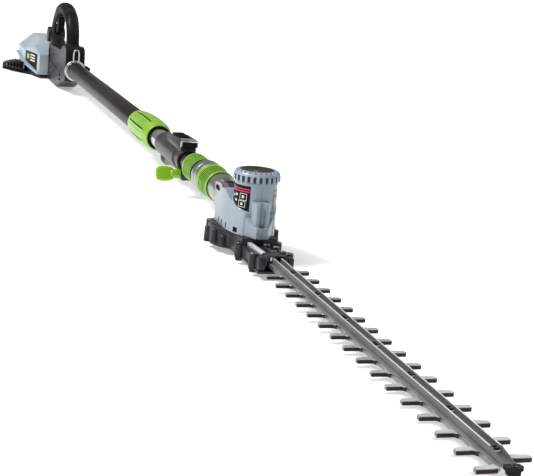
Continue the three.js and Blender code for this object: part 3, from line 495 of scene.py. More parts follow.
# a lighter metal for the upward faces of the casting's bosses and deck: a painted highlight
BOSS_TOP_HIGHLIGHT = metal("boss_top_painted_highlight", (0.16, 0.16, 0.165), (0.36, 0.36, 0.37), 0.26, (1.0, 1.0, 1.0), 300.0)
COPPER = metal("copper_winding", (0.42, 0.17, 0.07), (0.66, 0.31, 0.15), 0.35, (1.0, 1.0, 60.0), 60.0)
BOARD = moulded("circuit_board", (0.008, 0.06, 0.02), (0.015, 0.1, 0.035), 0.4)


def lacquered_tube():
    """Dark lacquered pole: faint lengthwise draw marks under a clear coat."""
    g = Graph("lacquered_tube")
    draw = g.noise(60.0, 3.0, 0.6, g.stretched(*DRAWN))
    slow = g.noise(9.0, 3.0)
    low, high = (0.0072, 0.0054, 0.005), (0.0144, 0.0116, 0.0112)
    g.link(g.mix(0.4, g.ramp(slow, low, high), g.ramp(draw, low, high)), "Base Color")
    g.link(g.span(draw, 0.26, 0.42), "Roughness")
    g.set(Coat_Weight=0.1, Coat_Roughness=0.22, Specular_IOR_Level=0.05)
    g.bump(draw, 0.2, 0.03)
    return g.material


POLE = lacquered_tube()

# ---- camera, light and floor ----

camera = bpy.data.objects.new("camera", bpy.data.cameras.new("camera"))
scene.collection.objects.link(camera)
scene.camera = camera
camera.data.sensor_width = 36
camera.data.lens = 87.64
camera.data.clip_end = 200
viewpoint = Vector((1.952, -0.4519, 0.3704))
right = Vector((0.2965, 0.9504, 0.0937))
up = Vector((-0.2466, -0.0186, 0.9689))
away = right.cross(up)
camera.matrix_world = Matrix([(right[i], up[i], away[i], viewpoint[i]) for i in range(3)]
    + [(0, 0, 0, 1)])

floor_mesh = bpy.data.meshes.new("floor")
FLOOR_HALF = 60
corners = [(FLOOR_HALF * x, FLOOR_HALF * y, 0) for x, y in ((-1, -1), (1, -1), (1, 1), (-1, 1))]
floor_mesh.from_pydata(corners, [], [(0, 1, 2, 3)])
floor = bpy.data.objects.new("floor", floor_mesh)
floor.location.z = -0.0005
scene.collection.objects.link(floor)
floor_look = bpy.data.materials.new("pale_floor")
floor_look.use_nodes = True
paint = floor_look.node_tree.nodes["Principled BSDF"].inputs
paint["Base Color"].default_value = (0.92, 0.92, 0.92, 1)
paint["Roughness"].default_value = 0.9
paint["Emission Color"].default_value = (1, 1, 1, 1)
paint["Emission Strength"].default_value = 0.36
floor.data.materials.append(floor_look)

world = bpy.data.worlds.new("studio")
scene.world = world
world.use_nodes = True
nodes, links = world.node_tree.nodes, world.node_tree.links
sky = nodes["Background"]
backdrop = nodes.new("ShaderNodeBackground")
for background, strength in ((sky, 0.34), (backdrop, 1.0)):
    background.inputs["Color"].default_value = (1, 1, 1, 1)
    background.inputs["Strength"].default_value = strength
# the camera sees a white backdrop, and the object is lit by a dimmer sky
by_ray = nodes.new("ShaderNodeMixShader")
rays = nodes.new("ShaderNodeLightPath")
links.new(rays.outputs["Is Camera Ray"], by_ray.inputs[0])
links.new(sky.outputs[0], by_ray.inputs[1])
links.new(backdrop.outputs[0], by_ray.inputs[2])
links.new(by_ray.outputs[0], nodes["World Output"].inputs[0])
scene.view_settings.view_transform = "Standard"


def light(name, kind, place, target, energy, size):
    lamp = bpy.data.lights.new(name, kind)
    lamp.energy = energy
    if kind == "AREA":
        lamp.shape = "RECTANGLE"
        lamp.size, lamp.size_y = size
    else:
        lamp.angle = math.radians(size)
    obj = bpy.data.objects.new(name, lamp)
    obj.location = place
    obj.rotation_euler = (Vector(target) - Vector(place)).to_track_quat("-Z", "Y").to_euler()
    scene.collection.objects.link(obj)


light("key", "SUN", (-0.3, -2.2, 2.6), (0, 0, 0), 2.3, 16)
light("box", "AREA", (-0.4, -1.4, 2.4), (0, 0, 0), 26, (3.6, 0.8))
light("rim", "AREA", (-0.6, 1.8, 1.6), (0.1, 0, 0), 12, (2.8, 0.5))

# ---- cutting blades ----

PITCH = 33.0
TEETH = 16
BAR = 9.5
REACH = 26.7
STROKE = 8.25
BOLT_PITCH = 78
BOLTS = [at(27 + BOLT_PITCH * i) for i in range(7)]


def tooth_side(side, inset):
    """One toothed side of the blade's outline from the tip back, with its flanks drawn in by inset."""
    front = at(PITCH / 2 if side > 0 else 0)
    out = [(front - 0.8, side * BAR)]
    for i in range(TEETH):
        face = front - i * PITCH
        if i:
            out.append((face + 9.4, side * BAR))
            out += bezier((face + 7.6, side * (BAR + 0.1)), (face + 1.2 - inset, side * (BAR + 0.3)),
                (face - inset, side * (BAR + 3.6)), 5)
        out.append((face - inset, side * (BAR + 3.6)))
        out.append((face - inset, side * (REACH - 1.4)))
        out.append((face - inset - 0.3, side * (REACH - 0.5)))
        out.append((face - 1.2 - inset, side * (REACH - inset * 0.4)))
        out.append((face - 5.4 + inset, side * (REACH - inset * 0.4)))
        out.append((face - 6.6 + inset, side * (REACH - 1.6)))
        out.append((face - 8 + inset, side * (BAR + 1.6)))
        out.append((face - 9.4, side * BAR))
    return out


def blade(name, low, high, ground_up):
    """The bar with its teeth: a straight land, then a ground bevel on the flanks of the teeth."""
    ring = at(684.5)
    neck = at(549)

    def outline(inset):
        back = [(neck, -BAR), (ring + 20, -BAR), (ring + 20, BAR), (neck, BAR)]
        return tooth_side(-1, inset) + back + tooth_side(1, inset)[::-1]

    full, drawn = outline(0), outline(0.4)
    n = len(full)
    land = 1.4
    if ground_up:
        levels = [(full, low), (full, low + land), (drawn, high)]
    else:
        levels = [(drawn, low), (full, high - land), (full, high)]
    slots = [slot_outline(x, 0, STROKE + 3, 3, 6) for x in BOLTS]
    verts = [(p[0], p[1], z) for pts, z in levels for p in pts]
    faces = []
    for layer in (0, 1):
        for i in range(n):
            j = (i + 1) % n
            faces.append((layer * n + i, layer * n + j, (layer + 1) * n + j, (layer + 1) * n + i))
    base = len(verts)
    flat = [p for s in slots for p in s]
    verts += [(p[0], p[1], low) for p in flat] + [(p[0], p[1], high) for p in flat]
    m = len(flat)
    start = 0
    for s in slots:
        for i in range(len(s)):
            a, b = base + start + i, base + start + (i + 1) % len(s)
            faces.append((a, b, b + m, a + m))
        start += len(s)
    for layer, shift, turn in ((0, 0, False), (2, m, True)):
        loops = [[Vector((p[0], p[1], 0)) for p in levels[layer][0]]]
        loops += [[Vector((p[0], p[1], 0)) for p in s] for s in slots]
        for tri in tessellate_polygon(loops):
            face = [layer * n + i if i < n else base + shift + i - n for i in tri]
            faces.append(tuple(reversed(face)) if turn else tuple(face))
    obj = new_object(name, verts, faces)
    yoke_hole = slot_like(ring, 23.4, 15.2, 9)
    yoke = prism("yoke", slot_like(ring, 26.9, 19.2, 12), low, high, holes=[yoke_hole])
    merge(obj, yoke)
    tool = block("tool", at(9.25), at(-10), -5.8, 5.8, low - 1, high + 1, bevel=0)
    return carve(obj, tool)


def slot_like(x, half_long, half_wide, r):
    """A rectangle with round corners about (x, 0)."""
    out = []
    for cx, cy, turn in ((1, -1, -0.5), (1, 1, 0), (-1, 1, 0.5), (-1, -1, 1)):
        out += circle(x + cx * (half_long - r), cy * (half_wide - r), r, 5, math.pi * turn,
                      math.pi * (turn + 0.5))
    return out


for name, ground_up in (("lower_blade", False), ("upper_blade", True)):
    lo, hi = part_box(name)
    made = blade("blade_" + name[:5], lo.z / MM, hi.z / MM, ground_up)
    done(made, name, "blade_steel", BLADE, name, angle=20)
    # tooth faces pointing towards the tip get painted shade
    paint_faces(made, TOOTH_FACE_SHADE, lambda p, n: n.x > 0.25 and abs(p.y) > 0.0105)
    # every upward face of the blades gets the bright ground-steel colour, partly a painted highlight
    paint_faces(made, GROUND_TOP_AND_HIGHLIGHT, lambda p, n: n.z > 0.3)

# ---- rail and its bolts ----

section = [(-5.2, 19.1), (5.2, 19.1), (5.2, 25.4), (3.8, 25.4), (3.8, 20.7), (-3.8, 20.7), (-3.8, 25.4),
           (-5.2, 25.4)]
rail = prism("channel_rail", section, at(544), at(1.4), plane="YZ")
slope = prism("slope", behind((26, 25.5), (5, 21.4), (0, 21.4), (0, 30), (26, 30)), -9, 9, plane="XZ")
rail = soften(carve(rail, slope), 0.3, 2)
tongue = block("rail_tongue", at(620), at(543), -5.2, 5.2, 19.1, 20.7, bevel=0.3)
rail = done(merge(rail, tongue), "head", "steel", RAIL, "blade_rail")
# the rail's upward rims get a painted highlight
paint_faces(rail, BRIGHT_METAL_AND_HIGHLIGHT, lambda p, n: n.z > 0.35 and p.z > 0.024)


def hexed(limit):
    """Turns every radius under the limit into a hexagon across its corners."""

    def radius(angle, s, rad):
        if rad > limit:
            return rad
        return rad * math.cos(math.pi / 6) / math.cos(angle % (math.pi / 3) - math.pi / 6)

    return radius


def socket_head(name, x, y, z0, z1, r, socket):
    deep = z1 - 0.6 * (z1 - z0) if z1 > z0 else z1 + 0.6 * (z0 - z1)
    profile = [(z0, 0), (z0, r), (z1, r), (z1, socket), (deep, socket), (deep, 0)]
    return lathe(name, profile, 36, 0.45, "Z", (x, y), hexed(socket * 1.08))


for i, x in enumerate(BOLTS):
    head = socket_head("rail_screw_%d" % (i + 1), x, 0, 21.0, 24.1, 3.5, 1.7)
    shank = lathe("shank", rod(12, 21.2, 2.3), 20, 0.2, "Z", (x, 0))
    washer = lathe("washer", pipe(13.4, 14.6, 2.0, 5.4), 32, 0.3, "Z", (x, 0))
    nut = lathe("nut", [(10.5, 0), (10.5, 3.4), (11.1, 4.2), (13.6, 4.2), (13.6, 0)], 36, 0.2, "Z", (x, 0),
                hexed(4.3))
    done(merge(head, shank, washer, nut), "head", "dark_steel", DARK_STEEL, "rail_bolt_%d" % (i + 1))
    ring = lathe("screw_ring_%d" % (i + 1), [(20.9, 3.6), (20.9, 5.0), (22.4, 4.8), (22.4, 3.6)], 36, 0.2,
                 "Z", (x, 0))
    done(ring, "head", "steel", BRIGHT_METAL_AND_HIGHLIGHT)

nose = mirrored((1, -6.4), (-2.5, -7.5), (-6.2, -7.0), (-8, -4.6))
nose = prism("nose_block", rounded(nose, 1.6), 19.3, 21.8, bevel=0.5)
chin = block("chin", at(-0.2), at(-6.8), -5.0, 5.0, 15.0, 19.6, bevel=0.8)
stud = socket_head("stud", at(-3.4), 0, 21.4, 22.3, 2.6, 1.3)
done(merge(nose, chin), "head", "dark_steel", BLACK, "nose_guard")
done(stud, "head", "steel", DARK_STEEL)

# ---- gearbox casting ----

GEAR = at(684.5)
MOTOR = at(644.5)
TOWER = (MOTOR, 0)
PIVOT = at(735)
HINGE = (PIVOT, AXIS)
CASE_R = 40
MOUTH_HALF = 21


def case_outline(inset):
    """The gear case from above: a round back that narrows to the blade mouth."""
    r, half = CASE_R - inset, MOUTH_HALF - inset
    open_angle = 0.62
    start = (GEAR + r * math.cos(open_angle), r * math.sin(open_angle))
    out = circle(GEAR, 0, r, 56, open_angle, 2 * math.pi - open_angle)
    out += bezier((start[0], -start[1]), (at(630), -half - 2), (at(610), -half))[1:]
    out += mirrored((610, -half), (545, -half))
    out += bezier((at(610), half), (at(630), half + 2), start)[1:]
    return out


CASE_BOSSES = [(615, 22.5, 5.6), (566, 20.5, 5.6)]
# round the back of the case: angle from the front, radius, top, foot
RIM_BOSSES = [(1.75, 4.6, 25, 6.5), (2.15, 5.0, 30, 9.5), (2.5, 4.6, 26, 6.5), (2.85, 4.2, 31, 9.5),
              (0.85, 4.2, 22, 9.8), (1.2, 4.6, 27, 9.8)]


def on_rim(turn, side):
    """A place on the round back of the case."""
    return GEAR + CASE_R * math.cos(turn), side * CASE_R * math.sin(turn)


def boss(name, place, foot, top, r, taper, hole, soft, segments=28):
    """A round boss. Its hole is given as the radius at the mouth and at the floor, and the depth."""
    mouth, floor_r, deep = hole
    profile = [(foot, 0), (foot, r), (top, r - taper), (top, mouth), (top - deep, floor_r),
               (top - deep, 0)]
    return lathe(name, profile, segments, soft, "Z", place)


back_case = keep(prism("case", case_outline(0), 10, 30), block("case_back", at(760), at(612), -60, 60, 0,
                 60, bevel=0))
back_case = soften(back_case, 1.3, 3, 40)
chamber = lathe("chamber", rod(5, 27.4, 37), 64, 0, "Z", (GEAR, 0))
back_case = carve(back_case, chamber)
neck = prism("neck", mirrored((620, -21), (548, -19.5)), 10, 22, bevel=2.4, segments=3)
tunnel = block("tunnel", at(700), at(530), -11.5, 11.5, 5, 21.0, bevel=0)
neck = carve(neck, tunnel)
case = merge(back_case, neck)

pieces = []
for side in (-1, 1):
    for back, y, r in CASE_BOSSES:
        pieces.append(boss("boss", (at(back), side * y), 9.9, 25.6, r, 0.5, (2.2, 2.0, 1.4), 0.8, 32))
        rib = prism("rib", [(at(back + 5), side * (y - 8)), (at(back + 3.4), side * (y + 4.6)),
                    (at(back - 3.4), side * (y + 4.6)), (at(back - 5), side * (y - 8))], 10, 20.5,
                    bevel=1.2)
        pieces.append(rib)
    # lugs at the corners of the blade mouth
    lug = prism("lug", behind((557, side * 10.5), (557, side * 20.5), (546, side * 20.5),
                (546, side * 12.5)), 10, 24.5, bevel=1.6, segments=3)
    pieces.append(lug)
    for turn, r, top, foot in RIM_BOSSES:
        pieces.append(boss("boss", on_rim(turn, side), foot, top, r, 0.4, (1.6, 1.5, 1.4), 0.7))
    for back in (700, 690, 680, 668, 656):
        x = at(back)
        edge = math.sqrt(39.9 ** 2 - (x - GEAR) ** 2)
        pieces.append(block("fin", x - 0.9, x + 0.9, *sorted((side * (edge - 3), side * edge)), 11, 21,
                      bevel=0.4))
arch = mirrored((563, -13.2), (545.4, -13.2))
arch = prism("arch", arch, 15, 27.2, bevel=2.6, segments=4)
arch = carve(arch, block("mouth", at(700), at(530), -11.4, 11.4, 5, 21.0, bevel=0),
             block("mouth", at(700), at(530), -6.2, 6.2, 5, 25.9, bevel=0.0))
collar = lathe("pedestal", [(29, 12), (29, 26.2), (30.2, 25.4), (30.2, 12)], 80, 0.5, "Z", TOWER)
step = prism("step", case_outline(3.4), 29, 31.2, bevel=0.6)
step = keep(step, block("tool", at(760), at(664), -60, 60, 0, 60, bevel=0))
merge(case, arch, collar, step, *pieces)

disc = lathe("knuckle", pipe(-7.8, 7.8, 4.3, 16), 64, 0.8, "Y", HINGE)
arm = [(PIVOT, over(15)), (PIVOT + 5, over(-14)), (PIVOT + 14, 29), (PIVOT + 46, 29), (PIVOT + 46, 31),
       (PIVOT + 34, over(-4)), (PIVOT + 18, over(10))]
arm = prism("arm", rounded(arm, 3), -7.8, 7.8, plane="XZ", bevel=0.9)
arm = carve(arm, lathe("pin_hole", rod(-20, 20, 6), 40, 0, "Y", HINGE))
merge(case, disc, arm)
case = done(case, "head", "casting", CAST, "gearbox_casting")
tops = [(at(back), side * y) for back, y, r in CASE_BOSSES for side in (-1, 1)]
tops += [on_rim(turn, side) for turn, *_ in RIM_BOSSES for side in (-1, 1)]
# the tops of the case bosses get a painted highlight
paint_faces(case, BOSS_TOP_HIGHLIGHT, lambda p, n: n.z > 0.25 and p.z > 0.0212 and min(math.hypot(p.x / MM - x,
            p.y / MM - y) for x, y in tops) < 6.2)

ridge = prism("ridge_strip", behind((617, -12.6), (612, -14.4), (547, -9.2), (545, -7), (545, -5.2),
              (610, -9), (617, -10)), 21.6, 25.8, bevel=0.6)
deck = [boss("deck_boss", (at(back), y), 21, top, r, 0.4, (1.5, 1.3, 1), 0.6)
        for back, y, r, top in ((604, 6, 4.4, 26), (588, 12, 4.0, 27.5), (572, 4, 4.2, 26.5),
        (560, 11, 4.4, 29))]
deck.append(prism("deck_rib", rounded(behind((612, 1), (560, 3), (560, 6), (612, 5)), 1), 21.2, 23.6,
                  bevel=0.5))
deck = done(merge(*deck), "head", "casting", CAST)
# every upward face of the deck gets a painted highlight
paint_faces(deck, BOSS_TOP_HIGHLIGHT, lambda p, n: n.z > 0.25)
done(ridge, "head", "steel", BRIGHT_METAL_AND_HIGHLIGHT)

cover = prism("cover", case_outline(0.4), 7, 9.7, bevel=0.7)
skid = prism("skid", [(GEAR - 22, 7.2), (GEAR - 14, 0), (GEAR + 40, 0), (GEAR + 56, 7.2)], -13, 13,
             plane="XZ", bevel=1.2, segments=3)
ribs = [block("skid_rib", GEAR - 12, GEAR + 38, y - 0.8, y + 0.8, 0.02, 1.4, bevel=0.3)
        for y in (-8, 0, 8)]
foot_bosses = [lathe("boss", rod(7, 9.7, 5), 28, 0.5, "Z", (at(back), side * y))
               for back, y, r in CASE_BOSSES for side in (-1, 1)]
done(merge(cover, skid, *ribs, *foot_bosses), "head", "casting", CAST, "gearbox_bottom_cover")

number = 1
for back, y, r in CASE_BOSSES:
    for side in (-1, 1):
        head = socket_head("case_screw_%d" % number, at(back), side * y, 6.7, 3.8, 4, 2)
        shank = lathe("shank", rod(5.6, 19, 2), 20, 0.2, "Z", (at(back), side * y))
        done(merge(head, shank), "head", "dark_steel", DARK_STEEL, "gearbox_bolt_%d" % number)
        number += 1

# ---- motor housing ----

tower = lathe("tower", rod(30.3, 92, 24.8), 128, 0, "Z", TOWER)
plan = behind((715.5, -23), (704, -30.5), (672, -31))
plan += bezier((at(671), -31), (at(640), -28.5), (at(621), -18))
plan += behind((621, -18), (621, 18))
plan += bezier((at(621), 18), (at(640), 28.5), (at(671), 31))[1:]
plan += behind((672, 31), (704, 30.5), (715.5, 23))
side_view = behind((715.5, 22), (598, 22), (598, 53))
side_view += bezier((at(600), 53.6), (at(636), 57.5), (at(665), 75.5), 14)
side_view += bezier((at(665), 75.5), (at(671), 77.5), (at(678), 74.5), 5)
side_view += bezier((at(678), 74.5), (at(692), 65), (at(715.5), 51), 10)
boot = two_views("boot", rounded(plan, 8, 6), 24, 90, side_view, 60)
shell = melt(combine(tower, boot), 0.8, 4)
base_cut = prism("base_cut", case_outline(-0.3), 0, 30.4)
shell = carve(shell, base_cut, block("base_cut", at(800), at(580), -60, 60, 10, 30.3, bevel=0))

front_plan = rounded(mirrored((636, -12), (613.5, -9.4), (610, -6.9)), 0.8)
ridge_side = behind((640, 36), (606, 36), (606, 68), (612.5, 71), (640, 72))
tower_ridge = two_views("tower_ridge", front_plan, 30, 90, ridge_side, 30)
tower_ridge = soften(tower_ridge, 0.8, 3, 25)
foot_plan = mirrored((640, -21), (624, -18.6), (606, -6.9))
foot_side = behind((645, 30.3), (604, 30.3), (604, 43.2), (608.5, 43.2), (622, 53), (645, 53))
foot = two_views("foot", foot_plan, 28, 60, foot_side, 40)
foot = soften(foot, 0.8, 3, 25)
shell = combine(shell, tower_ridge, foot)

hollow = lathe("hollow", rod(26, 93, 22.2), 96, 0, "Z", TOWER)
room_plan = mirrored((712, -20), (702, -28), (674, -28), (640, -25.5), (625, -15))
room_side = behind((712, 20), (600, 20), (600, 48), (634, 53), (662, 70), (675, 70), (712, 48))
low_hollow = two_views("low_hollow", room_plan, 25, 70, room_side, 60)
yoke_room = block("yoke_room", at(770), at(699), -8.4, 8.4, 5, 90, bevel=0)
cheek_room = lathe("cheek_room", rod(-17.1, 17.1, 18.5), 64, 0, "Y", HINGE)
shell = carve(shell, hollow, low_hollow, yoke_room, cheek_room)
screw_hole = lathe("screw_hole", rod(39, 90, 3.7), 32, 0, "Z", (at(610.4), 0))
carve(shell, screw_hole)
vents = []
for side in (-1, 1):
    for i in range(3):
        x = at(681 - 12.5 * i)
        vents.append(block("vent", x - 1.8, x + 1.8, *sorted((side * 20, side * 40)), 31.6, 39.4 - 0.6 * i,
                     bevel=0))
    vents.append(block("vent", at(639), at(631), *sorted((side * 17, side * 40)), 31.6, 37.6, bevel=0))
shell = carve(shell, *vents)


HALF_GAP = 0.12


def half_of(obj, side, name):
    """One side of an object cut along the middle, closed at the cut."""
    bm = bmesh.new()
    bm.from_mesh(obj.data)
    geom = bm.verts[:] + bm.edges[:] + bm.faces[:]
    bmesh.ops.bisect_plane(bm, geom=geom, plane_co=(0, side * HALF_GAP * MM, 0), plane_no=(0, -side, 0),
        clear_outer=True)
    edges = [e for e in bm.edges if e.is_boundary]
    bmesh.ops.holes_fill(bm, edges=edges, sides=0)
    mesh = bpy.data.meshes.new(name)
    bm.to_mesh(mesh)
    bm.free()
    half = bpy.data.objects.new(name, mesh)
    scene.collection.objects.link(half)
    return half


for side, word in ((1, "left"), (-1, "right")):
    half = half_of(shell, side, "housing_" + word)
    done(half, "head", "grey_plastic", GREY, "motor_housing_" + word, angle=38)
bpy.data.objects.remove(shell)

# a black sheet inside the housing that keeps the inside of the vents dark: painted shade
shade_sheet = lathe("motor_shade_sheet", pipe(31, 84, 20.9, 21.6), 64, 0, "Z", TOWER)
done(shade_sheet, "head", "black_plastic", BLACK)

# a second black sheet behind the boot's vents: painted shade
shade_sheet = keep(prism("boot_shade_sheet", mirrored((711, -19.4), (701.6, -27.4), (674, -27.4), (640, -24.9),
                    (626, -15)), 30.6, 44), block("tool", at(711), at(626), -60, 60, 0, 60, bevel=0))
shade_sheet = carve(shade_sheet, prism("tool", mirrored((709, -19), (700, -26.2), (674, -26.2), (641, -23.6),
               (628, -13)), 20, 60))
done(shade_sheet, "head", "black_plastic", SOFT_BLACK)

# ---- motor cap ----

FLUTES = 24
FLUTE_DEEP = 2.9
SHOULDER = 99.2


def fluted(angle, s, rad):
    """Recesses round the side of the cap that run out below its shoulder."""
    if rad < 26.0 or s > SHOULDER:
        return rad
    share = (angle / (2 * math.pi) * FLUTES) % 1
    edge = min(abs(share - 0.28), abs(share - 0.82)) * 9
    inside = 0.28 < share < 0.82
    fade = min(1, max(0, (SHOULDER - s) / 0.9))
    return rad - FLUTE_DEEP * min(1, edge) * fade * inside


cap_profile = [(92.3, 22.4), (92.3, 27.0), (92.9, 27.3), (94, 27.3), (95.4, 27.3), (96.8, 27.3),
               (98, 27.25), (98.6, 27.15), (SHOULDER, 27.0)]
cap_profile += bezier((99.4, 26.95), (103.2, 26.0), (104.3, 21.6), 8)
cap_profile += [(104.3, 21.0), (104.0, 19.9), (102.7, 19.8), (102.7, 3), (101.4, 3), (101.0, 20.4),
                (98, 22.4)]
cap = lathe("fluted_cap", cap_profile, FLUTES * 14, 0, "Z", TOWER, fluted)
tools = []
for i in range(FLUTES):
    angle = (i + 0.55) / FLUTES * 2 * math.pi
    tool = block("cap_slot", 22.8, 25.0, -1.3, 1.3, 101, 106, bevel=0)
    tool.data.transform(Matrix.Translation((MOTOR * MM, 0, 0)) @ Matrix.Rotation(angle, 4, "Z"))
    tools.append(tool)
slots = merge(*tools)
cap = carve(cap, slots)
cap = done(cap, "head", "grey_plastic", CAP_GREY, "motor_cap", angle=32)
# the faces inside the flute recesses get painted shade
paint_faces(cap, CAP_SHADE, lambda p, n: 0.0925 < p.z < 0.0990 and 23.0 < math.hypot(p.x / MM - MOTOR,
            p.y / MM) < 26.4)
disc = lathe("cap_plate", [(102.75, 0), (102.75, 19.4), (103.9, 19.4), (104.1, 18.6), (103.7, 17.4),
             (103.7, 0)], 96, 0.3, "Z", TOWER)
done(disc, "head", "black_plastic", BLACK, "cap_disc")
mark = prism("cap_mark", rounded([(MOTOR + 9, -8), (MOTOR + 12.5, -8), (MOTOR + 12.5, -3),
             (MOTOR + 9, -3)], 0.8), 103.6, 103.85, bevel=0.08)
done(mark, "head", "green_plastic", GREEN)

# ---- labels ----


def wrapped(name, a0, a1, low, high, r0, r1, steps):
    """A film bent round the tower between two angles in degrees, from low(angle) up to high(angle)."""
    verts = []
    for k in range(steps + 1):
        deg = a0 + (a1 - a0) * k / steps
        c, s = math.cos(math.radians(deg)), math.sin(math.radians(deg))
        for r in (r0, r1):
            for z in (low(deg), high(deg)):
                verts.append((MOTOR + r * c, r * s, z))
    faces = []
    for k in range(steps):
        a, b = 4 * k, 4 * k + 4
        faces += [(a, a + 1, b + 1, b), (a + 2, b + 2, b + 3, a + 3), (a, b, b + 2, a + 2),
                  (a + 1, a + 3, b + 3, b + 1)]
    end = 4 * steps
    faces += [(0, 2, 3, 1), (end, end + 1, end + 3, end + 2)]
    return new_object(name, verts, faces)


def level(z):
    return lambda deg: z


def neckline(deg):
    """Lower edge of the side label, tucked just behind the top of the boot."""
    u = (-31 - deg) / 76
    return 56.6 + 4.2 * u + 8.4 * u * u


def printed(name, a0, a1, z0, z1, steps=6):
    """Print on the side label, between two angles and two heights."""
    return wrapped(name, a0, a1, level(z0), level(z1), FILM_R, FILM_R + 0.12, steps)


FILM_R = 25.0
FILM = moulded("label_film", (0.003, 0.003, 0.0035), (0.008, 0.008, 0.0085), 0.4, shine=0.08)
CRIMSON = moulded("crimson_print", (0.36, 0.008, 0.06), (0.5, 0.014, 0.09), 0.35)
PALE = moulded("pale_print", (0.55, 0.54, 0.5), (0.72, 0.71, 0.67), 0.4)
film = wrapped("side_label", -31, -116, neckline, level(87.6), 24.7, 25.05, 40)
done(film, "head", "label_film", FILM, "warning_label")
stripes = printed("label_stripe", -32, -113, 83.0, 84.5, 30)
merge(stripes, printed("label_stripe", -32, -108, 80.2, 81.9, 30))
done(stripes, "head", "label_film", CRIMSON)


def frame_print(a0, a1, z0, z1, width):
    """A pale outlined box on the label."""
    da = math.degrees(width / FILM_R)
    return [printed("line", a0, a1, z0, z0 + width, 8), printed("line", a0, a1, z1 - width, z1, 8),
            printed("line", a0, a0 - da, z0, z1, 2), printed("line", a1 + da, a1, z0, z1, 2)]


prints = frame_print(-40, -62, 70.4, 78.6, 0.6) + frame_print(-43, -65, 62.6, 70.0, 0.6)
prints += [printed("dot", -48, -55, 73.0, 76.2), printed("dot", -51, -58, 64.8, 67.6),
           printed("bar", -71, -78, 74.6, 77.2), printed("bar", -84, -91, 73.4, 76.0),
           printed("bar", -73, -80, 68.2, 70.8)]
done(merge(*prints), "head", "label_film", PALE)

narrow = wrapped("narrow_label", 38, 70, lambda deg: 58 + (deg - 38) * 0.2, level(84), 24.7, 25.0, 16)
done(narrow, "head", "label_film", moulded("olive_film", (0.13, 0.135, 0.12), (0.19, 0.195, 0.17), 0.4))
tab = wrapped("narrow_tab", 41, 66, level(78.5), level(82.6), 24.9, 25.08, 10)
done(tab, "head", "label_film", GREEN)
lines = [wrapped("line", 43, 63, level(66 + 2.4 * i), level(67.1 + 2.4 * i), 24.9, 25.08, 8)
         for i in range(4)]
done(merge(*lines), "head", "label_film", PALE)

# ---- tilting joint ----

barrel = lathe("yoke_barrel", behind((815, 13.3), (815, 18.2), (763, 18.2), (757, 17.6), (753, 16.4),
               (753, 8.0), (791, 8.0), (791, 13.3)), 96, 0.8)
arms = []
for side in (-1, 1):
    y0, y1 = sorted((side * 8.4, side * 16.5))
    outline = circle(PIVOT, AXIS, 17, 40, -math.pi / 2, math.pi / 2) + elevation((757, 14.5),
        (757, -14.5))
    arms.append(prism("cheek", outline, y0, y1, plane="XZ", bevel=1.6, segments=4))
yoke = merge(barrel, *arms)
yoke = carve(yoke, lathe("pin_hole", rod(-30, 30, 4.3), 32, 0, "Y", HINGE),
             lathe("knuckle_room", rod(-8.4, 8.4, 18), 64, 0, "Y", HINGE))
slot_cut = prism("slot_cut", slot_outline(at(744), over(9), 9.0, 3.2), -24, 24, plane="XZ")
yoke = carve(yoke, slot_cut)
done(yoke, "head_shaft", "steel", YOKE_METAL, "pivot_yoke")
liner = rounded(elevation((752, 5), (734, 5), (734, 13), (752, 13)), 2)
liners = [prism("yoke_liner", liner, lo, hi, plane="XZ") for lo, hi in ((-14.6, -8.5), (8.5, 14.6))]
done(merge(*liners), "head_shaft", "dark_steel", BLACK)
pin = lathe("hinge_pin", [(-16.7, 0), (-16.7, 1.5), (-16.3, 1.7), (-16.3, 2.4), (-16.7, 2.6), (-16.7, 4),
            (16.7, 4), (16.7, 2.6), (16.3, 2.4), (16.3, 1.7), (16.7, 1.5), (16.7, 0)], 40, 0.25, "Y",
            HINGE)
done(pin, "head_shaft", "dark_steel", DARK_STEEL, "pivot_pin")


def tapered_grooves(start, end, r0, r1, pitch, depth):
    """Points of a ringed grip surface between two places, working towards the tip."""
    out = []
    count = int(abs(end - start) / pitch)
    for i in range(count):
        for share, low in ((0, 0), (0.48, 0), (0.58, 1), (0.9, 1)):
            t = (i + share) / count
            out.append((at(start + (end - start) * t), r0 + (r1 - r0) * t - low * depth))
    return out


def grooved(start, end, r, pitch, depth):
    return tapered_grooves(start, end, r, r, pitch, depth)


sleeve = behind((830, 16.6), (830, 20.8), (829, 21.5), (826.5, 21.7), (825, 21.3))
sleeve += tapered_grooves(824, 793, 21.0, 19.4, 5.0, 1.0)
sleeve += behind((792, 19.9), (789.4, 19.8), (788.5, 19.3), (788.5, 18.6), (819.5, 18.6), (819.5, 16.6))
sleeve = done(lathe("green_sleeve", sleeve, 128, 0.2), "lock_sleeve", "green_plastic", GREEN,
              "lock_sleeve")


def spread(p):
    """Distance of a point from the pole's axis, in millimetres."""
    return math.hypot(p.y, p.z - AXIS * MM) / MM


# the sleeve's ring grooves get painted shade
paint_faces(sleeve, GROOVE_SHADE_GREEN, lambda p, n: at(823.6) < p.x / MM < at(793.4) and spread(p) < 19.4
            + 1.6 * (at(793) - p.x / MM) / 31 - 0.3)
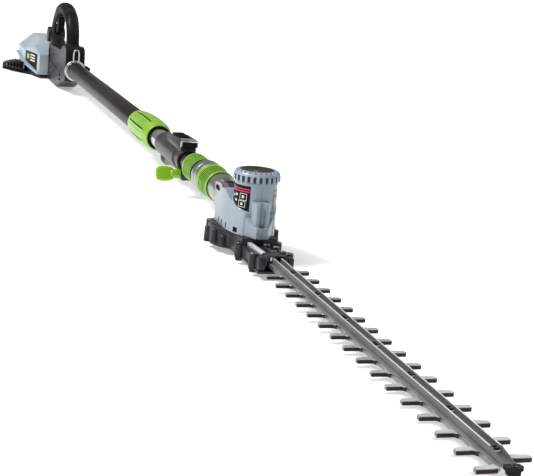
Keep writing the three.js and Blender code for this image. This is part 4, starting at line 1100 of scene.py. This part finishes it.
# a lighter, glossier copy of the green moulding on the thin rims of the sleeve and grip: a painted
# highlight
LIP_HIGHLIGHT_GREEN = moulded("green_lip_painted_highlight", (0.30, 0.60, 0.03), (0.40, 0.72, 0.05), 0.3, coat=0.3)
rim = lathe("sleeve_rim", pipe(at(829.2), at(827.4), 21.2, 22.0), 96, 0.2)
front_rim = lathe("sleeve_front_rim", behind((791.6, 19.4), (791.6, 20.15), (789.8, 20.1), (789.8, 19.4)),
                  96, 0.2)
done(merge(rim, front_rim), "lock_sleeve", "green_plastic", LIP_HIGHLIGHT_GREEN)
collar = behind((861, 17.8), (861, 20.2), (859, 21.5), (856, 21.8), (845, 21.8), (844.6, 21.3),
                (843.6, 21.3), (843.2, 21.8), (834, 21.7), (831.5, 21.2), (830.3, 20.2), (830.3, 17.8))
done(lathe("steel_collar", collar, 128, 0.3), "lock_sleeve", "steel", STEEL, "lock_collar")
grip = behind((919, 13.3), (919, 17.4), (917.6, 18.6), (916, 19.0))
grip += grooved(915, 873, 19.0, 5.2, 1.0)
grip += behind((872, 18.6), (872, 17.0), (852, 17.0), (852, 13.3))
grip = done(lathe("green_grip", grip, 128, 0.2), "head_shaft", "green_plastic", GREEN, "grip_ring")
# the grip's ring grooves and its neck in front get painted shade
paint_faces(grip, GROOVE_SHADE_GREEN, lambda p, n: at(915) < p.x / MM < at(873.5) and spread(p) < 18.7)
paint_faces(grip, GROOVE_SHADE_GREEN, lambda p, n: p.x / MM > at(872.2))
# the grip's lip gets the painted highlight green
lip = lathe("grip_lip", behind((918, 18.2), (918, 19.2), (916.2, 19.3), (916.2, 18.2)), 96, 0.2)
done(lip, "head_shaft", "green_plastic", LIP_HIGHLIGHT_GREEN)
shaft = lathe("shaft", pipe(at(1041), at(792), 11.4, 13), 72, 0.3)
done(shaft, "head_shaft", "dark_steel", DARK_STEEL, "head_shaft")

# ---- coupler and its clamp ----

tube = lathe("coupler_tube", behind((1099, 14.6), (1099, 16.6), (1097, 17.2), (988, 17.2), (984, 16.6),
             (983, 15.4), (962, 15.4), (961, 16.1), (958.6, 16.1), (958, 15.6), (958, 13.4), (1044, 13.4),
             (1044, 12.2), (1048, 12.2), (1048, 14.6)), 96, 0.4)
flange = elevation((1098, -14), (1098, -22), (1086, -26), (1060, -26), (1044, -20), (990, -18), (982, -28),
                   (958.5, -28), (958.5, -14))
flange = prism("flange", rounded(flange, 3), -6.5, 6.5, plane="XZ", bevel=1.4, segments=3)
pad = block("pad", at(1046), at(962), -11, 11, over(11), over(18.5), bevel=1.6, segments=3)
ribs = [block("coupler_rib", at(1092 - 6 * i), at(1090.4 - 6 * i), -6.9, 6.9, over(-24), over(-15),
              bevel=0.4) for i in range(4)]
flange = carve(flange, block("clamp_slot", at(996), at(950), -0.8, 0.8, over(-40), over(-10), bevel=0),
               lathe("clamp_hole", rod(-20, 20, 3.3), 32, 0, "Y", (at(970), over(-20.5))),
               lathe("bore", rod(at(1110), at(940), 14.6), 48, 0))
pad = carve(pad, lathe("bore", rod(at(1110), at(940), 15.6), 48, 0),
            block("spring_bay", at(1020), at(990), -6.3, 6.3, over(8), over(30), bevel=0))
done(merge(tube, flange, pad, *ribs), "telescope", "casting", CAST, "coupler_body")

base = AXIS + 18.8
outline = behind((1048, base), (1040, over(24)), (1020, over(27)), (970, over(28.5)), (961, over(27)),
                 (958, base))
latch = prism("latch_block", rounded(outline, 2), -12, 12, plane="XZ")
latch = carve(latch, block("bay", at(1030), at(980), -8.5, 8.5, over(15), over(40), bevel=0))
latch = soften(latch, 1.3, 3)
latch = done(latch, "telescope", "dark_steel", BLACK, "latch_frame")
bracket = []
for side in (-1, 1):
    bracket.append(block("bracket", at(961), at(957.4), side * 11.4 - 0.9, side * 11.4 + 0.9, base + 0.4,
                   over(27), bevel=0.4))
bracket.append(block("bracket", at(961), at(957.4), -12.2, 12.2, over(26.2), over(28.2), bevel=0.5))
bracket.append(block("bracket", at(974), at(960), -10.4, 10.4, over(28.4), over(29.2), bevel=0.3))
done(merge(*bracket), "telescope", "steel", ALLOY)
cap_block = block("button_top", at(1029.6), at(980.4), -8.1, 8.1, base + 4.4, over(28.6), bevel=1.2,
                  segments=3)
ridges = [block("button_ridge", at(1024 - 5 * i), at(1022 - 5 * i), -6.6, 6.6, over(28), over(29.2),
                bevel=0.5) for i in range(9)]
stem = block("button_stem", at(1016), at(994), -5.4, 5.4, base + 2.4, base + 5, bevel=0.4)
done(merge(cap_block, stem, *ridges), "release_button", "black_plastic", SOFT_BLACK, "release_button")

CLAMP = (at(970), over(-20.5))
bolt = lathe("clamp_stud", [(-7, 0), (-7, 2.6), (-6.6, 3), (12, 3), (12, 0)], 32, 0.3, "Y", CLAMP)
nut = lathe("clamp_nut", [(6.8, 0), (6.8, 5.3), (7.2, 5.5), (10.6, 5.5), (11, 5.2), (11, 0)], 36, 0.2, "Y",
            CLAMP, hexed(5.6))
done(merge(bolt, nut), "telescope", "steel", STEEL, "clamp_bolt")
wing = []
for y, half, thick in ((-16.4, 6.5, 3.4), (-20, 9.4, 3.5), (-26, 10.4, 3.2), (-34, 10.6, 3.0),
                       (-40, 9.0, 2.6), (-42, 6.0, 1.6)):
    wing.append([(u, y, v) for u, v in ((-half, -0.4), (-half + 2.6, -thick), (half - 2.6, -thick),
                 (half, -0.4), (half, 0.4), (half - 2.6, thick), (-half + 2.6, thick), (-half, 0.4))])
verts = [p for ring in wing for p in ring]
faces = [(8 * i + k, 8 * i + (k + 1) % 8, 8 * i + 8 + (k + 1) % 8, 8 * i + 8 + k)
         for i in range(len(wing) - 1) for k in range(8)]
faces += [tuple(range(8)), tuple(range(8 * len(wing) - 1, 8 * len(wing) - 9, -1))]
knob = soften(new_object("wing_knob", verts, faces), 0.5, 2, 20)
hub = lathe("knob_hub", [(-22, 0), (-22, 5.2), (-19, 6.5), (-7.6, 6.5), (-6.9, 6.1), (-6.9, 3.3),
            (-11, 3.3), (-11, 0)], 48, 0.4, "Y", (0, 0))
knob = merge(knob, hub)
knob.data.transform(Matrix.Translation((CLAMP[0] * MM, 0, CLAMP[1] * MM)) @ Matrix.Rotation(1.2, 4, "Y"))
done(knob, "clamp_knob", "green_plastic", GREEN, "clamp_knob", angle=28)

# ---- telescopic pole ----

tube = lathe("alloy_tube", pipe(at(1930), at(1049), 12.7, 14.2), 96, 0.3)
done(tube, "telescope", "tube_alloy", ALLOY, "inner_tube")
tube = lathe("dark_tube", pipe(at(1992), at(1178), 15.4, 17), 96, 0.3)
done(tube, "rear_unit", "carbon_tube", POLE, "outer_pole")


RIBS = (1160, 1284)


def ribbed(angle, s, rad):
    """Lengthwise flutes on the twist collar, with eight deeper seams between its panels."""
    back = TIP - s
    if rad < 19.5 or not RIBS[0] <= back <= RIBS[1]:
        return rad
    fade = min(1, (back - RIBS[0]) / 6, (RIBS[1] - back) / 10)
    fine = 0.5 + 0.5 * math.cos(angle * 32)
    seam = max(0, 1 - abs((angle / (math.pi / 4)) % 1 - 0.5) * 12)
    return rad - fade * (0.5 * fine + 1.3 * seam)


def bulge(back):
    """Radius of the twist collar's ribs, by distance behind the tip."""
    t = (back - 1205) / 80
    return 24 - 4.2 * t * t if t > 0 else 24 - 2.6 * t * t


collar = behind((1288, 17.3), (1288, 18.6), (1287, 19.2), (1284, 19.8))
for i in range(17):
    collar.append((at(1282 - i * 7.6), bulge(1282 - i * 7.6)))
collar += behind((1158.6, 22.9), (1157.2, 22.5), (1155, 21.9), (1150, 21.3), (1144, 20.2), (1142, 19.2),
                 (1142, 18.1), (1178, 18.1), (1178, 17.3))
collar = lathe("twist_grip", collar, 384, 0.4, ripple=ribbed)
collar = done(collar, "twist_collar", "green_plastic", GREEN, "twist_collar")
# the twist collar's flutes and seams get painted shade
paint_faces(collar, GROOVE_SHADE_GREEN,
            lambda p, n: 1164 < TIP - p.x / MM < 1276 and 19 < spread(p) < bulge(TIP - p.x / MM) - 0.62)

# ---- rear handle ----

def spine(points, steps=8):
    """A smooth path in the middle plane, from distances and heights."""
    return smooth_path([(at(back), 0, over(z)) for back, z in points], steps)


loop = [(1982, 8), (1984, 48), (1992, 76), (2014, 98), (2056, 111), (2104, 114), (2148, 106), (2184, 84),
        (2208, 52), (2218, 22)]
path = spine(loop)
ring = sweep("loop", path, superellipse(12.5, 13.6, 2.3, 28))
trunk = [(1938, -24), (1938, 30), (1941, 41), (1950, 47), (1962, 48), (1980, 47), (1996, 43), (2012, 34),
         (2186, 30), (2186, -50), (2050, -50), (1990, -32)]
trunk = prism("trunk", rounded(elevation(*trunk), 5), -20, 20, plane="XZ", bevel=5, segments=4)
heel = lathe("boss", rod(-19, 19, 17), 48, 2.5, "Y", (at(2222), over(46)))
strut = sweep("strut", spine([(2222, 44), (2190, 36), (2150, 22)], 6), superellipse(11, 15, 2.4, 24))
handle = melt(combine(ring, trunk, heel, strut), 1.5, 5)
vent_tools = [block("vent", at(2020), at(1996), side * 21 - 3.4, side * 21 + 3.4, over(-31 + 9 * i),
                    over(-26 + 9 * i), bevel=0) for side in (-1, 1) for i in range(2)]
vent_tools += [prism("recess", rounded(elevation((2176, -8), (2176, 20), (2034, 26), (2022, 8),
                     (2050, -12)), 4), side * 21 - 2.4, side * 21 + 2.4, plane="XZ") for side in (-1, 1)]
vent_tools += [block("front_groove", at(1941.5), at(1930), y - 0.8, y + 0.8, over(20), over(44), bevel=0)
               for y in (-12, 12)]
bay = [(2172, 96), (2124, 100), (2134, 50), (2204, 50)]
lock_bay = [(2164, 116), (2168, 97), (2194, 66), (2240, 76), (2206, 140)]
handle = carve(handle, lathe("bore", rod(at(1995), at(1930), 17.3), 64, 0),
               lathe("throat", rod(at(2180), at(1990), 13), 48, 0),
               prism("bay", elevation(*bay), -7.5, 7.5, plane="XZ"),
               prism("lock_bay", elevation(*lock_bay), -6.5, 6.5, plane="XZ"),
               block("behind", at(2320), at(2189), -70, 70, -20, over(29), bevel=0), *vent_tools)
for side, word in ((1, "left"), (-1, "right")):
    half = half_of(handle, side, "handle_" + word)
    done(half, "rear_unit", "black_plastic", BLACK, "handle_shell_" + word, angle=40)
bpy.data.objects.remove(handle)
screws = []
for d, z in ((1972, -8), (2060, -30), (2120, 12), (2168, -34), (2222, 46), (1985, 34)):
    y = 20 if d < 2200 else 19
    for side in (-1, 1):
        screws.append(lathe("case_screw", [(side * (y - 2), 0), (side * (y - 2), 2.9),
                      (side * (y + 0.1), 2.9), (side * (y + 0.1), 1.4), (side * (y - 0.8), 1.3),
                      (side * (y - 0.8), 0)], 28, 0.25, "Y", (at(d), over(z))))
done(merge(*screws), "rear_unit", "dark_steel", DARK_STEEL)
soft = sweep("grip_pad", spine(loop[3:7]), superellipse(12.9, 14.0, 2.3, 28))
done(soft, "rear_unit", "black_plastic", SOFT_BLACK)

trigger = [(2160, 90), (2144, 91), (2144.5, 82), (2148, 70), (2156, 60), (2168, 54), (2178, 57)]
trigger = prism("trigger_blade", rounded(elevation(*trigger), 2), -6.8, 6.8, plane="XZ", bevel=1.4,
                segments=3)
done(trigger, "trigger", "black_plastic", SOFT_BLACK, "trigger")
lever = [(2172, 108), (2176, 100), (2196, 74), (2204, 77), (2184, 108)]
lever = prism("lock_lever", rounded(elevation(*lever), 2), -6, 6, plane="XZ", bevel=1.2, segments=3)
done(lever, "lock_off", "green_plastic", GREEN, "lock_off_lever")

ring = lathe("end_ring", behind((1937.6, 17.3), (1937.6, 21.0), (1936.8, 21.5), (1932, 21.5), (1931, 20.8),
             (1931, 17.3)), 96, 0.4)
done(ring, "rear_unit", "steel", ALLOY, "pole_end_ring")
eye = [(at(1928.6), -5.2, over(17)), (at(1928.6), -5.4, over(26)), (at(1928.6), -5.4, over(36))]
eye += [(at(1928.6), 5.4 * math.cos(a), AXIS + 37 + 6 * math.sin(a))
        for a in (2.6, 2.1, 1.57, 1.04, 0.54)]
eye += [(at(1928.6), 5.4, over(36)), (at(1928.6), 5.4, over(26)), (at(1928.6), 5.2, over(17))]
wire = sweep("strap_eye", smooth_path(eye, 5), circle(0, 0, 1.5, 12), up=(1, 0, 0))
band = lathe("eye_band", pipe(at(1930.6), at(1924.4), 17.2, 18.6), 96, 0.3)
done(merge(wire, band), "rear_unit", "steel", ALLOY, "harness_eyelet")

# ---- hood, battery housing and stand ----


def rear_plan(front, wide):
    """The plan of the rear unit, moved out at its front and at its sides."""
    return mirrored((2190 - front, -38 - wide), (2290, -60 - wide), (2399.5, -60 - wide))


def hood_shape(inset):
    """The hood as a solid, drawn in by inset: its plan, side and front views together."""
    plan = prism("plan", rear_plan(-inset, -inset), 0, 120)
    side = prism("side", [(at(2190) - inset, over(-41)), (at(2190) - inset, over(2)),
                 (at(2262), over(31 - inset)), (at(2401), over(31 - inset)), (at(2401), over(-15)),
                 (at(2330), over(-22))], -90, 90, plane="XZ")
    half = [(-70, over(-43)), (-70, over(-20)), (-58 + inset, over(4)),
            (-27 + inset / 2, over(31 - inset))]
    front = prism("front", half + [(-y, z) for y, z in reversed(half)], at(2400), at(2180), plane="YZ")
    return keep(plan, side, front)


hood = soften(hood_shape(0), 1.8, 3, 12)
inner = hood_shape(3)
inner.data.transform(Matrix.Translation((0, 0, -0.0005)))
mouth = [(-46, over(-60)), (-46, over(9)), (-24, over(24)), (24, over(24)), (46, over(9)),
         (46, over(-60))]
hood = carve(hood, inner, prism("mouth", mouth, at(2392), at(2420), plane="YZ"),
             lathe("boss_room", rod(-19.6, 19.6, 17.6), 48, 0, "Y", (at(2222), over(46))),
             block("leg_room", at(2244), at(2180), -19.6, 19.6, over(28), over(80), bevel=0))
lip_side = elevation((2187, -43), (2187, -39), (2330, -19.5), (2400, -12.5), (2400, -16), (2330, -23.5))
lip = two_views("lip", rear_plan(1.6, 5.5), 0, 80, lip_side, 90)
lip = carve(lip, prism("lip_room", rear_plan(-3, -3), 0, 90))
# the hood gets the lighter copy of the grey: painted light
done(merge(hood, soften(lip, 0.8, 2, 20)), "rear_unit", "grey_plastic", HOOD_LIT_GREY, "rear_hood", angle=30)

under_side = behind((2192, 3), (2200, 0), (2399.4, 0), (2399.4, over(-16.2)), (2330, over(-23.7)),
                    (2189, over(-43.1)))
under = two_views("under", rear_plan(-1, -2.5), 0, 60, under_side, 90)
under = soften(under, 2.2, 3, 20)
bay_walls = block("bay_walls", at(2399.4), at(2256), -48, 48, 6, over(8), bevel=0.8)
bay_tool = block("bay_tool", at(2412), at(2260), -45, 45, 12.1, over(5), bevel=0)
stand_room = prism("stand_room", mirrored((2243.6, -44.3), (2290.3, -44.3)), -1, 5.7)
under = carve(combine(under, bay_walls), bay_tool, stand_room)
slots = [block("grille", at(2318 + 12 * i), at(2324 + 12 * i), side * 60 - 4, side * 60 + 4, 13, 22,
               bevel=0) for side in (-1, 1) for i in range(5)]
under = carve(under, *slots)
done(under, "rear_unit", "black_plastic", BLACK, "battery_housing")


def on_facet(obj, side):
    """Moves a thin plate onto the slanting front corner of the hood."""
    for v in obj.data.vertices:
        v.co.y = side * (v.co.y + (38 + (at(2190) - v.co.x / MM) * 0.22) * MM)
    outward(obj)
    return obj


for side, word in ((-1, "right"), (1, "left")):
    panel = prism("hood_panel_" + word, rounded(elevation((2280, -22), (2280, 1), (2206, 0), (2206, -36)),
                  2), 0.0, 0.7, plane="XZ", bevel=0.2)
    done(on_facet(panel, side), "rear_unit", "label_film", FILM)
    mark = prism("hood_mark_" + word, rounded(elevation((2268, -16), (2268, -5), (2254, -5), (2254, -16)),
                 1.5), 0.6, 0.95, plane="XZ")
    done(on_facet(mark, side), "rear_unit", "label_film", GREEN)
    bars = [prism("hood_bar", rounded(elevation((2247, z), (2247, z + 3.2), (2218, z + 3.2), (2218, z)),
                  0.6), 0.6, 0.95, plane="XZ") for z in (-19, -13, -7)]
    done(on_facet(merge(*bars), side), "rear_unit", "label_film", PALE)

stand = [(2244, 44), (2262, 57), (2338, 101), (2346, 102.4), (2358, 100), (2358, 88), (2318, 64),
         (2290, 44)]
foot = prism("stand_plate", rounded(mirrored(*stand), 4), 0, 5.4, bevel=1.2)
arms = []
for side in (-1, 1):
    arm = keep(prism("arm", rounded([(at(d), side * y) for d, y in stand], 5), 0, 30),
               prism("arm_side", [(side * 63, 0.4), (side * 63, 26), (side * 75, 24.5), (side * 98, 15),
                     (side * 102.4, 11), (side * 102.4, 0.4)], at(2362), at(2240), plane="YZ"))
    arms.append(soften(arm, 1.8, 3, 25))
    for i in range(5):
        y = side * (72 + 6 * i)
        arms.append(block("tread", at(2352), at(2262 + 8.6 * i), y - 0.7, y + 0.7, 10, 24.6 - 1.95 * i,
                    bevel=0.4))
done(merge(foot, *arms), "rear_unit", "black_plastic", BLACK, "rear_stand")

# the CAD nodes that are not replaced get a finish
for node, material in (("motor_stator", COPPER), ("motor_rotor", DARK_STEEL), ("rotor_bearing", STEEL),
                       ("drive_gear", STEEL), ("sleeve_spring", STEEL), ("button_spring", STEEL),
                       ("control_board", BOARD), ("battery_terminals", BLACK), ("pole_collet", BLACK)):
    mesh = bpy.data.objects[node].data
    mesh.materials.clear()
    mesh.materials.append(material)
